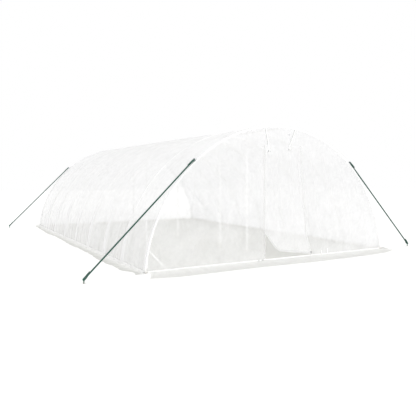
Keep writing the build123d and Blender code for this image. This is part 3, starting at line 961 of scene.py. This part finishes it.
# %% Brace bolts, and one rivet
end_inset = 14 * MM
for name, into_tunnel in (
    ("left_side_braces", (1, 0, 0)), ("right_side_braces", (-1, 0, 0)),
    ("front_gable_braces", (0, 1, 0)), ("back_gable_braces", (0, -1, 0)),
):
    spots = np.array([vertex.co for vertex in nodes[name].data.vertices])
    split_along = 1 if into_tunnel[0] else 0
    for half, sign in (("near", -1), ("far", 1)):
        ours = spots[spots[:, split_along] * sign > 0]
        bottom = ours[ours[:, 2] < ours[:, 2].min() + 2 * tube_radius]
        top = ours[ours[:, 2] > ours[:, 2].max() - 2 * tube_radius]
        run = top.mean(axis=0) - bottom.mean(axis=0)
        run /= np.linalg.norm(run)
        facing = into_tunnel - run * np.dot(run, into_tunnel)
        facing /= np.linalg.norm(facing)
        for end, cap, inset in (("foot", bottom, end_inset), ("top", top, -end_inset)):
            reach = np.linalg.norm(cap - cap.mean(axis=0), axis=1).max()
            middle = cap.mean(axis=0) + run * inset + facing * reach
            bolt_name = f"{name}_{half}_{end}_bolt"
            fasteners.append(put(bolt_model, bolt_name, "zinc_plated_steel", middle, facing))
bpy.data.objects.remove(bolt_model)
rivet_model = turned("rivet_model", ((0, 2.4), (2.2, 2.1), (3.8, 1.2), (4.5, 0)), steps=12)
print("bolts:", len(fasteners))

# %% [markdown]
# The guy ropes are three-strand laid rope, stretched tight. The CAD's rods are 18 mm thick, and
# the rope is drawn 25 mm thick, so that it looks as bold as it should. Each goes through
# the eye of its hook, turns back and is lashed to itself, and does the same at its peg. A rope is
# a section with three round lobes that turns as it runs, drawn along a line: straight between the
# eyes and then round the eye's wire. The lashing is an oval sleeve with a ridge for each turn of
# twine. The real lay is one turn in about 60 mm, and 80 mm is drawn so that it shows.

# %% Sizes of the ropes, eyes and lashings
rod_radius = 9 * MM
rope_radius = 12.5 * MM
bolder = rope_radius / rod_radius
rope_lay = 80 * MM
eye_gap = 0.5 * MM
eye_wire = {"hook": 8 * MM, "peg": 10 * MM}
hook_ring = 18 * MM
hook_weld = 1.5 * MM
rivet_reach = 14 * MM
lash_start, lash_end = 62 * MM, 104 * MM
lash_middle, lash_half = (lash_start + lash_end) / 2, (lash_end - lash_start) / 2
twine_pitch = 3.5 * MM


# %% Drawing a rope along a line
def smooth_path(points, step):
    """Evenly spaced points on a smooth curve near some control points."""
    data = bpy.data.curves.new("path", "CURVE")
    data.dimensions = "3D"
    data.resolution_u = 10
    spline = data.splines.new("NURBS")
    spline.points.add(len(points) - 1)
    for control, point in zip(spline.points, points):
        control.co = (*point, 1)
    spline.order_u = 3
    spline.use_endpoint_u = True
    holder = bpy.data.objects.new("path", data)
    read = bpy.data.meshes.new_from_object(holder)
    line = np.array([v.co for v in read.vertices])
    bpy.data.objects.remove(holder)
    bpy.data.meshes.remove(read)
    run = run_lengths(line)
    at = np.linspace(0, run[-1], max(2, round(run[-1] / step)))
    return read_along(line, run, at), at


def frames(line, first):
    """Two directions square to a line at each of its points, carried along without twisting."""
    run = np.gradient(line, axis=0)
    run /= np.linalg.norm(run, axis=1)[:, None]
    side = np.array(first, dtype=float)
    sides = []
    for way in run:
        side = side - way * np.dot(side, way)
        side = side / np.linalg.norm(side)
        sides.append(side)
    sides = np.array(sides)
    return sides, np.cross(run, sides)


def laid_rope(name, points, first, radius, lay, step=9 * MM, sides=15):
    """A rope of three twisted strands along some control points."""
    line, at = smooth_path(points, step)
    one, two = frames(line, first)
    turn = np.linspace(0, 2 * math.pi, sides + 1)[None, :]
    twist = (2 * math.pi * at / lay)[:, None]
    lobes = 0.78 + 0.22 * np.abs(np.cos(1.5 * (turn - twist))) ** 0.8
    around = radius * lobes
    places = (
        line[:, None]
        + one[:, None] * (around * np.cos(turn))[..., None]
        + two[:, None] * (around * np.sin(turn))[..., None]
    )
    return grid_piece(name, [(places, to_points(at[:, None], (turn - twist) / (2 * math.pi)))])


# %% Lashings and the turns round the eyes
def lashing(name, middle, along, across):
    """An oval sleeve of twine turns round two strands that lie side by side."""
    square = np.cross(along, across)
    at = np.linspace(-lash_half, lash_half, 12 * round(2 * lash_half / twine_pitch))
    ends = np.clip((lash_half - np.abs(at)) / (3 * MM), 0, 1) ** 0.5
    ridge = 1.1 * MM * np.abs(np.sin(math.pi * at / twine_pitch))
    turn = np.linspace(0, 2 * math.pi, 25)[None, :]
    wide = (17.5 * MM * bolder + ridge)[:, None] * (0.72 + 0.28 * ends)[:, None]
    thick = (9.6 * MM * bolder + ridge)[:, None] * (0.72 + 0.28 * ends)[:, None]
    places = (
        middle
        + along * at[:, None, None]
        + across * (wide * np.cos(turn))[..., None]
        + square * (thick * np.sin(turn))[..., None]
    )
    return grid_piece(name, [(places, to_points(at[:, None], turn * 12 * MM / math.pi))])


def eye_turn(wire_middle, away, across, wire):
    """Control points of the loop round an eye's wire, from its lashed end to the straight run."""
    # Millimetres (along the rope, across it) from the wire's middle.
    steps = (
        (118, 17), (96, 17.5), (70, 17), (48, 15), (24, 14), (8, 14), (-8, 13), (-17, 6),
        (-17, -6), (-8, -13), (8, -13), (24, -11), (46, -5), (70, -1), (96, 0), (150, 0),
    )
    wider = (wire / 2 + rope_radius + 0.5 * MM) / (14 * MM)
    return [
        wire_middle + away * along * MM + across * side * MM * (wider if along < 30 else bolder)
        for along, side in steps
    ]


# %% One rope at each corner
ropes = []
for corner, side, end in (
    ("front_left", -1, -1), ("front_right", 1, -1), ("back_left", -1, 1), ("back_right", 1, 1),
):
    low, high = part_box(f"{corner}_guy_rope")
    near_x, far_x = (high[0], low[0]) if side < 0 else (low[0], high[0])
    near_y, far_y = (high[1], low[1]) if end < 0 else (low[1], high[1])
    way = Vector((far_x - near_x, far_y - near_y, low[2] - high[2])).normalized()
    # The rod's box reaches past its middle line, by more where the rod runs squarer to that side,
    # so the line's ends are found in a few rounds.
    for _ in range(4):
        trim = Vector([math.sqrt(max(0.0, 1 - w * w)) * rod_radius for w in way])
        start = Vector((near_x + side * trim.x, near_y + end * trim.y, high[2] - trim.z))
        stop = Vector((far_x - side * trim.x, far_y - end * trim.y, low[2] + trim.z))
        way = (stop - start).normalized()
    if abs(stop.y - start.y) < 5 * MM:
        start.y = stop.y = (low[1] + high[1]) / 2
        way = (stop - start).normalized()
    outwards = Vector((start.x, 0, start.z - axis_height)).normalized()
    hook_wire = start - way * (eye_wire["hook"] / 2 + eye_gap)
    peg_wire = stop + way * (eye_wire["peg"] / 2 + eye_gap)
    hook_side = np.array(way.cross(outwards).normalized())
    peg_side = np.array(way.cross(Vector((0, 0, 1))).normalized())
    ends = {
        "hook": (np.array(hook_wire), np.array(way), hook_side),
        "peg": (np.array(peg_wire), np.array(-way), peg_side),
    }
    upper, lower = (eye_turn(*places, eye_wire[eye]) for eye, places in ends.items())
    rope = laid_rope(f"{corner}_rope", upper + lower[::-1], hook_side, rope_radius, rope_lay)
    ropes.append(place(rope, "guy_rope", f"{corner}_guy_rope"))
    for eye, (wire_middle, run, across) in ends.items():
        middle = wire_middle + run * lash_middle + across * 8.5 * MM * bolder
        sleeve = lashing(f"{corner}_{eye}_lashing", middle, run, across)
        ropes.append(place(sleeve, "guy_rope"))
    pad_drop = hook_ring + eye_wire["hook"] / 2 - hook_weld
    pad_top = hook_wire - way * hook_ring - outwards * pad_drop
    over_arch = outwards.cross(Vector((0, 1, 0)))
    for number, (first, second) in enumerate(((-1, -1), (-1, 1), (1, -1), (1, 1)), 1):
        spot = pad_top + rivet_reach * (over_arch * first + Vector((0, second, 0)))
        name = f"{corner}_hook_{number}_rivet"
        fasteners.append(put(rivet_model, name, "zinc_plated_steel", spot, outwards))
    print(corner, "rope", round((stop - start).length, 3), "m, faces:", len(rope.data.polygons))
bpy.data.objects.remove(rivet_model)

# %% Cords beside the ties
tie_cords = []
for name, line in zip(("left_tie_cord", "right_tie_cord"), tie_lines):
    beside = line[:straight_points:4] + np.array((-15 * MM, -1.5 * MM, 0))
    cord = laid_rope(name, beside, sideways, 2.2 * MM, 24 * MM, step=6 * MM, sides=9)
    tie_cords.append(place(cord, "zip_tape"))
print("tie cords:", len(tie_cords))

# %% [markdown]
# Finishes. Each one starts from the real material and is put together from nodes. A short helper
# adds a node with its settings and links in one call, and another turns the written sRGB colours
# into the linear numbers that a shader works with.


# %% Helpers for finishes
def colour(code):
    """A linear colour from an sRGB hex code."""
    parts = [int(code[i : i + 2], 16) / 255 for i in (1, 3, 5)]
    return tuple(c / 12.92 if c <= 0.04045 else ((c + 0.055) / 1.055) ** 2.4 for c in parts) + (1,)


def add(tree, kind, settings=None, **links):
    """Adds a node. Settings go on the node, and links on its inputs.

    An input is named, with _ for a space, or numbered, as in i0. What it gets is a value, a
    socket, or a node that stands for its first output.
    """
    node = tree.nodes.new(kind)
    for key, value in (settings or {}).items():
        setattr(node, key, value)
    for key, value in links.items():
        socket = node.inputs[int(key[1:]) if key[1:].isdigit() else key.replace("_", " ")]
        if isinstance(value, bpy.types.Node):
            value = value.outputs[0]
        if isinstance(value, bpy.types.NodeSocket):
            tree.links.new(value, socket)
        else:
            socket.default_value = value
    return node


def material(name):
    """A new material with an empty node tree."""
    made = bpy.data.materials.new(name)
    made.use_nodes = True
    made.node_tree.nodes.clear()
    return made, made.node_tree


def dress(finish, *pieces):
    """Gives pieces one finish all over."""
    for piece in pieces:
        piece.data.materials.clear()
        piece.data.materials.append(finish)


# A mix node blends numbers unless it is told to blend colours.
in_colour = {"data_type": "RGBA"}

# %% [markdown]
# Polyethylene film is milky: part of the light goes straight through it, and the rest is
# scattered, some back to the viewer and some on into the tunnel. So the finish mixes a clear
# share with a white one that both reflects and lets light through. Creases from 4 to 30 cm across
# and a faint cloudiness keep the large sheet from looking flat, and a soft sheen follows the
# folds. Doubled film, as in hems, is the same with less of the clear share.


# %% Greenhouse film
def film_finish(name, white, cover_share, cloud, edge_shade=None, through_share=0.42):
    """Milky film. cover_share is the light that doesn't go straight through, seen square on."""
    made, tree = material(name)
    place_on = add(tree, "ShaderNodeTexCoord").outputs["Object"]
    crinkle = add(
        tree, "ShaderNodeTexNoise", Vector=place_on,
        Scale=3.2, Detail=3.0, Roughness=0.5, Distortion=0.6,
    )
    tilted = add(tree, "ShaderNodeBump", Strength=0.8, Distance=0.03, Height=crinkle)
    body = colour(white)
    # Where a flap's soil mark rises towards its outer edge, the film is greyed in patches: partly
    # dirt, and partly a painted shade of the pleats and the hem there.
    if edge_shade:
        soil = add(tree, "ShaderNodeAttribute", {"attribute_name": "soil"}).outputs["Fac"]
        spots = add(tree, "ShaderNodeTexNoise", Vector=place_on, Scale=7.0, Detail=4.0)
        edge_shade_and_dirt = add(
            tree, "ShaderNodeMath", {"operation": "MULTIPLY_ADD"}, i0=spots, i1=0.5, i2=soil
        )
        share = add(tree, "ShaderNodeMapRange", Value=edge_shade_and_dirt, From_Min=0.45)
        body = add(
            tree, "ShaderNodeMix", in_colour, i0=share, i6=colour(white), i7=colour(edge_shade)
        ).outputs[2]
    gloss = add(
        tree, "ShaderNodeBsdfPrincipled", Base_Color=body, Roughness=0.42, IOR=1.5, Normal=tilted
    )
    through = add(tree, "ShaderNodeBsdfTranslucent", Color=body, Normal=tilted)
    milky = add(tree, "ShaderNodeMixShader", i0=through_share, i1=gloss, i2=through)
    clear = add(tree, "ShaderNodeBsdfTransparent", Color=(1, 1, 1, 1))
    # The clear share stays under three quarters. Past that the render's noise filter takes the
    # film for clear glass, and leaves specks where the two meet.
    patches = add(tree, "ShaderNodeTexNoise", Vector=place_on, Scale=2.6, Detail=3.0, Roughness=0.5)
    even = add(
        tree, "ShaderNodeMapRange", Value=patches, From_Min=0.38, From_Max=0.75,
        To_Min=1 - cover_share, To_Max=1 - cover_share - cloud,
    )
    haze = add(tree, "ShaderNodeAttribute", {"attribute_name": "haze"}).outputs["Fac"]
    clearness = add(tree, "ShaderNodeMath", {"operation": "SUBTRACT"}, i0=even, i1=haze)
    # Seen at a slant, the light has a longer way through the film, so less of it comes through.
    slant = add(tree, "ShaderNodeLayerWeight", Blend=0.5, Normal=tilted).outputs["Facing"]
    clamped = {"operation": "SUBTRACT", "use_clamp": True}
    square_on = add(tree, "ShaderNodeMath", clamped, i0=1.0, i1=slant)
    way = add(tree, "ShaderNodeMath", {"operation": "MAXIMUM"}, i0=square_on, i1=0.5)
    depth = add(tree, "ShaderNodeMath", {"operation": "DIVIDE"}, i0=1.0, i1=way)
    left_over = add(tree, "ShaderNodeMath", {"operation": "POWER"}, i0=clearness, i1=depth)
    mixed = add(tree, "ShaderNodeMixShader", i0=left_over, i1=milky, i2=clear)
    add(tree, "ShaderNodeOutputMaterial", Surface=mixed)
    return made


# %% The sheets and their finishes
film = film_finish("milky_polyethylene_film", "#FBFBFC", 0.27, 0.17)
# The flaps' film greys towards the outer edge: partly dirt, and partly a painted shade of the
# pleats and the hem there.
edge_shaded_film = film_finish(
    "edge_shaded_polyethylene_film", "#FAFAF8", 0.66, 0.10, edge_shade="#E2E2DE", through_share=0.15
)
faintly_edge_shaded_film = film_finish(
    "faintly_edge_shaded_polyethylene_film", "#FAFAF8", 0.68, 0.10, edge_shade="#F0F0ED", through_share=0.15
)
seam_film = film_finish("welded_polyethylene_seam", "#FAFAF9", 0.93, 0.02, through_share=0.22)
hem_film = film_finish("hemmed_polyethylene_film", "#F9F9F7", 0.96, 0.02, through_share=0.12)
dress(film, film_cover, front_gable_film, back_gable_film, door_film, back_seam)
dress(edge_shaded_film, left_flap, right_flap)
dress(faintly_edge_shaded_film, front_flap, back_flap)
dress(seam_film, *side_seams)
dress(hem_film, gable_hem)
print("film sheets dressed: 8, seams and hems:", len(side_seams) + 2)

# %% [markdown]
# The tubes are powder coated steel: a white, slightly pebbled plastic skin over smooth metal. It
# is satin, so it gets a middling roughness. The pebbles are 2 mm across and are drawn as they
# are; near the ground, splashed soil dulls the white in spots.


# %% Soil near the ground
def soil_share(tree, place_on, top, spots):
    """How much soil lies on a surface: all of it at the ground, and none above a height."""
    height = add(tree, "ShaderNodeSeparateXYZ", Vector=place_on).outputs["Z"]
    near = add(
        tree, "ShaderNodeMapRange", Value=height,
        From_Min=0.0, From_Max=top, To_Min=0.55, To_Max=-0.15,
    )
    patch = add(tree, "ShaderNodeTexNoise", Vector=place_on, Scale=spots, Detail=4.0)
    both = add(tree, "ShaderNodeMath", {"operation": "ADD"}, i0=near, i1=patch)
    return add(tree, "ShaderNodeMapRange", Value=both, From_Min=0.55)


# %% The tubes' coat
powder_coat, tree = material("white_powder_coated_steel")
place_on = add(tree, "ShaderNodeTexCoord").outputs["Object"]
pebble = add(tree, "ShaderNodeTexVoronoi", Vector=place_on, Scale=500.0)
pebbled = add(tree, "ShaderNodeBump", Strength=0.12, Distance=0.0006, Height=pebble)
soil = soil_share(tree, place_on, 0.12, 40.0)
tint = add(tree, "ShaderNodeMix", in_colour, i0=soil, i6=colour("#FCFCFB"), i7=colour("#F0EEE9"))
dull = add(tree, "ShaderNodeMapRange", Value=soil, To_Min=0.36, To_Max=0.7)
coat = add(
    tree, "ShaderNodeBsdfPrincipled", Base_Color=tint.outputs[2], Roughness=dull, Normal=pebbled
)
add(tree, "ShaderNodeOutputMaterial", Surface=coat)
tube_ends = ("_rail", "_bar", "_braces", "_tube", "_posts")
tubes = [piece for name, piece in nodes.items() if name.endswith(tube_ends)]
dress(powder_coat, *tubes, *hoops)
print("tubes:", len(tubes) + len(hoops))

# %% [markdown]
# The rope is laid polypropylene: split, slightly shiny fibres that follow the strands. The UV map
# counts metres along and turns around, with the strands' twist taken out, so a noise stretched
# along the rope turns into fibres that run with the lay. Real fibres are well under 1 mm; these
# are 4 mm wide and 40 mm long.

# %% Laid rope
rope_finish, tree = material("green_laid_polypropylene")
flat_map = add(tree, "ShaderNodeUVMap", {"uv_map": "flat_metres"})
stretched = add(tree, "ShaderNodeMapping", Vector=flat_map, Scale=(25, 18, 1))
fibres = add(tree, "ShaderNodeTexNoise", Vector=stretched, Scale=1.0, Detail=3.0, Roughness=0.6)
share = add(tree, "ShaderNodeMapRange", Value=fibres, From_Min=0.35, From_Max=0.65)
greens = add(tree, "ShaderNodeMix", in_colour, i0=share, i6=colour("#05362A"), i7=colour("#0E5242"))
raised = add(tree, "ShaderNodeBump", Strength=0.5, Distance=0.0015, Height=fibres)
strands = add(
    tree, "ShaderNodeBsdfPrincipled", Base_Color=greens.outputs[2], Roughness=0.55,
    Sheen_Weight=0.15, Normal=raised,
)
add(tree, "ShaderNodeOutputMaterial", Surface=strands)
dress(rope_finish, *ropes)
print("ropes and lashings dressed:", len(ropes))

# %% [markdown]
# Hooks, bolts, rivets and the eyelet are zinc-plated steel: a bluish grey metal with cloudy,
# slightly brighter patches about 11 mm across and fine scratches, which are drawn 1 mm wide. The
# pegs are steel with a green plastic coat that has soil dried on near the ground, in 3 mm grit.

# %% Zinc plate
zinc, tree = material("zinc_plated_steel")
place_on = add(tree, "ShaderNodeTexCoord").outputs["Object"]
cloud = add(tree, "ShaderNodeTexNoise", Vector=place_on, Scale=90.0, Detail=3.0)
patchy = add(tree, "ShaderNodeMapRange", Value=cloud, From_Min=0.35, From_Max=0.7)
greys = add(tree, "ShaderNodeMix", in_colour, i0=patchy, i6=colour("#A9ADB1"), i7=colour("#CDD0D2"))
worn = add(tree, "ShaderNodeMapRange", Value=patchy, To_Min=0.45, To_Max=0.28)
scratch_map = add(tree, "ShaderNodeMapping", Vector=place_on, Scale=(900, 900, 60))
scratches = add(tree, "ShaderNodeTexNoise", Vector=scratch_map, Scale=1.0, Detail=2.0)
scratched = add(tree, "ShaderNodeBump", Strength=0.2, Distance=0.0004, Height=scratches)
plate = add(
    tree, "ShaderNodeBsdfPrincipled", Base_Color=greys.outputs[2], Roughness=worn,
    Metallic=1.0, Normal=scratched,
)
add(tree, "ShaderNodeOutputMaterial", Surface=plate)
dress(zinc, nodes["guy_hooks"], eyelet, *fasteners)
print("zinc-plated pieces:", len(fasteners) + 2)

# %% Green coat on the pegs
peg_finish, tree = material("green_coated_steel")
place_on = add(tree, "ShaderNodeTexCoord").outputs["Object"]
soil = soil_share(tree, place_on, 0.05, 60.0)
greens = add(tree, "ShaderNodeMix", in_colour, i0=soil, i6=colour("#2F6B5C"), i7=colour("#6F6A58"))
dull = add(tree, "ShaderNodeMapRange", Value=soil, To_Min=0.4, To_Max=0.85)
grit = add(tree, "ShaderNodeTexNoise", Vector=place_on, Scale=350.0, Detail=2.0)
gritty = add(tree, "ShaderNodeBump", Strength=0.3, Distance=0.0006, Height=grit)
coat = add(
    tree, "ShaderNodeBsdfPrincipled", Base_Color=greens.outputs[2], Roughness=dull, Normal=gritty
)
add(tree, "ShaderNodeOutputMaterial", Surface=coat)
dress(peg_finish, nodes["guy_pegs"])

# %% [markdown]
# The toggles and clips are moulded plastic with a fine spark-eroded grain. The grain is about
# 0.5 mm and is drawn at 1 mm. Handling polishes it in places, so the roughness varies.

# %% Moulded plastic
dark_plastic, tree = material("dark_moulded_plastic")
place_on = add(tree, "ShaderNodeTexCoord").outputs["Object"]
grain = add(tree, "ShaderNodeTexNoise", Vector=place_on, Scale=1000.0, Detail=2.0)
grained = add(tree, "ShaderNodeBump", Strength=0.25, Distance=0.0005, Height=grain)
rubbed = add(tree, "ShaderNodeTexNoise", Vector=place_on, Scale=60.0, Detail=3.0)
polish = add(tree, "ShaderNodeMapRange", Value=rubbed, To_Min=0.35, To_Max=0.65)
share = add(tree, "ShaderNodeMapRange", Value=rubbed, From_Min=0.4, From_Max=0.7)
tint = add(tree, "ShaderNodeMix", in_colour, i0=share, i6=colour("#454849"), i7=colour("#56595A"))
plastic = add(
    tree, "ShaderNodeBsdfPrincipled", Base_Color=tint.outputs[2], Roughness=polish, Normal=grained
)
add(tree, "ShaderNodeOutputMaterial", Surface=plastic)
dress(dark_plastic, left_toggle, right_toggle, right_slider)

# %% [markdown]
# Webbing and zip tape are woven polyester. Webbing is a coarse herringbone and the zip tape a
# fine plain weave; both come from two crossed waves on the UV map, which is in metres. The real
# threads are 0.3 to 0.8 mm apart, and 3 mm is drawn for the webbing and 2 mm for the tape. The
# zip's teeth are moulded nylon, a shade greyer.


# %% Weaving threads from waves
def woven(name, light, dark, thread, roughness):
    """A woven finish whose threads cross at right angles on the UV map."""
    made, tree = material(name)
    flat_map = add(tree, "ShaderNodeUVMap", {"uv_map": "flat_metres"})
    # A wave node of scale 1 runs 20 radians in each metre.
    pace = 2 * math.pi / thread / 20
    warp, weft = (
        add(
            tree, "ShaderNodeTexWave", {"bands_direction": way},
            Vector=flat_map, Scale=pace, Distortion=0.4,
        ).outputs["Fac"]
        for way in ("X", "Y")
    )
    cross = add(tree, "ShaderNodeMath", {"operation": "MULTIPLY"}, i0=warp, i1=weft)
    tint = add(tree, "ShaderNodeMix", in_colour, i0=cross, i6=colour(dark), i7=colour(light))
    raised = add(tree, "ShaderNodeBump", Strength=0.5, Distance=0.0008, Height=cross)
    cloth = add(
        tree, "ShaderNodeBsdfPrincipled", Base_Color=tint.outputs[2], Roughness=roughness,
        Sheen_Weight=0.2, Normal=raised,
    )
    add(tree, "ShaderNodeOutputMaterial", Surface=cloth)
    return made


# %% Webbing, zip tape and cord
webbing = woven("white_polyester_webbing", "#FCFCFA", "#EDEDEA", 3 * MM, 0.8)
zip_weave = woven("grey_polyester_zip_tape", "#EFEFEE", "#DFDFDE", 2 * MM, 0.85)
cord_weave = woven("grey_polyester_cord", "#B0B3B2", "#969998", 3 * MM, 0.8)
dress(webbing, *ties)
dress(cord_weave, *tie_cords)
print("woven pieces:", len(ties) + len(tie_cords))

# %% Nylon teeth, slider and clips
nylon, tree = material("moulded_nylon_teeth")
place_on = add(tree, "ShaderNodeTexCoord").outputs["Object"]
cast = add(tree, "ShaderNodeTexNoise", Vector=place_on, Scale=220.0, Detail=2.0)
share = add(tree, "ShaderNodeMapRange", Value=cast, From_Min=0.3, From_Max=0.7)
tint = add(tree, "ShaderNodeMix", in_colour, i0=share, i6=colour("#C6C8C7"), i7=colour("#D6D7D5"))
smooth = add(tree, "ShaderNodeBsdfPrincipled", Base_Color=tint.outputs[2], Roughness=0.35)
add(tree, "ShaderNodeOutputMaterial", Surface=smooth)
dress(nylon, left_slider, *clips)
for piece in zip_pieces:
    dress(nylon if piece.name.endswith("_teeth") else zip_weave, piece)

# %% [markdown]
# The studio: a pale floor, an even white surround and one large soft lamp, low in front of the
# door and a little to its left, so that folds have a light and a dark side. Seen straight, the
# floor and the surround are pure white. Inside the tunnel, and under the flaps where it is seen
# through film, the floor gets no white glow and a darker grey: a painted shade of the film.

# %% Floor
deselect_all()
bpy.ops.mesh.primitive_plane_add(size=80, location=(0, 0, 0))
floor = named("studio_floor")
floor_finish, tree = material("studio_floor")
path = add(tree, "ShaderNodeLightPath").outputs
spot = add(tree, "ShaderNodeSeparateXYZ", Vector=add(tree, "ShaderNodeTexCoord").outputs["Object"])


def within(half_x, half_y):
    """1 on the floor inside a rectangle about the middle, 0 outside it."""
    sides = []
    for axis, half in (("X", half_x), ("Y", half_y)):
        away = add(tree, "ShaderNodeMath", {"operation": "ABSOLUTE"}, i0=spot.outputs[axis])
        sides.append(add(tree, "ShaderNodeMath", {"operation": "LESS_THAN"}, i0=away, i1=half))
    return add(tree, "ShaderNodeMath", {"operation": "MULTIPLY"}, i0=sides[0], i1=sides[1])


# %% What the floor shows
larger, times = {"operation": "MAXIMUM"}, {"operation": "MULTIPLY"}
flap_limits = (2.75, back_y + 0.49)
floor_glow = 0.22
through_film = add(
    tree, "ShaderNodeMath", {"operation": "GREATER_THAN"}, i0=path["Transparent Depth"], i1=0.5
)
under_flaps = add(tree, "ShaderNodeMath", times, i0=through_film, i1=within(*flap_limits))
indoors = within(film_half_width, back_y)
shaded = add(tree, "ShaderNodeMath", larger, i0=under_flaps, i1=indoors)
# Inside the tunnel and under the flaps the floor takes a darker grey: painted shade of the film
# over it.
ground = add(
    tree, "ShaderNodeMix", in_colour, i0=shaded, i6=colour("#E8E8E7"), i7=colour("#E1E1DD")
)
grey = add(tree, "ShaderNodeBsdfDiffuse", Color=ground.outputs[2])
in_the_open = add(tree, "ShaderNodeMath", {"operation": "SUBTRACT"}, i0=1.0, i1=shaded)
seen = add(tree, "ShaderNodeMath", larger, i0=path["Is Camera Ray"], i1=path["Is Glossy Ray"])
seen = add(tree, "ShaderNodeMath", larger, i0=seen, i1=path["Is Transmission Ray"])
lifted = add(tree, "ShaderNodeMath", times, i0=seen, i1=in_the_open)
strength = add(tree, "ShaderNodeMath", times, i0=lifted, i1=floor_glow)
glow = add(tree, "ShaderNodeEmission", Color=(1, 1, 1, 1), Strength=strength)
together = add(tree, "ShaderNodeAddShader", i0=grey, i1=glow)
add(tree, "ShaderNodeOutputMaterial", Surface=together)
dress(floor_finish, floor)

# %% Surround and lamp
world = bpy.data.worlds.new("studio")
bpy.context.scene.world = world
world.use_nodes = True
tree = world.node_tree
tree.nodes.clear()
even_white = add(tree, "ShaderNodeBackground", Color=(1, 1, 1, 1), Strength=1.0)
add(tree, "ShaderNodeOutputWorld", Surface=even_white)

lamp_data = bpy.data.lights.new("key_lamp", "SUN")
lamp_data.angle = math.radians(25)
lamp_data.energy = 1.1
lamp = in_scene("key_lamp", lamp_data)
lamp.rotation_euler = Vector((2.5, 12, -4)).to_track_quat("-Z", "Y").to_euler()

# %% [markdown]
# The camera stands in front of the left corner, 1.4 m up, and looks level, so upright posts stay
# upright. The lens was found by matching the hoops, feet and ridge to the photograph, and a small
# downward shift frames the tunnel as there.

# %% Camera
camera_data = bpy.data.cameras.new("camera")
camera_data.lens = 42.41
camera_data.sensor_width = 36
camera_data.shift_y = -0.075
camera = in_scene("camera", camera_data)
camera.location = (-5.261, -10.747, 1.427)
camera.rotation_euler = (math.radians(90), 0, math.radians(-29.6))
bpy.context.scene.camera = camera
print("camera at", [round(v, 2) for v in camera.location])
bpy.context.scene.view_settings.view_transform = "Standard"
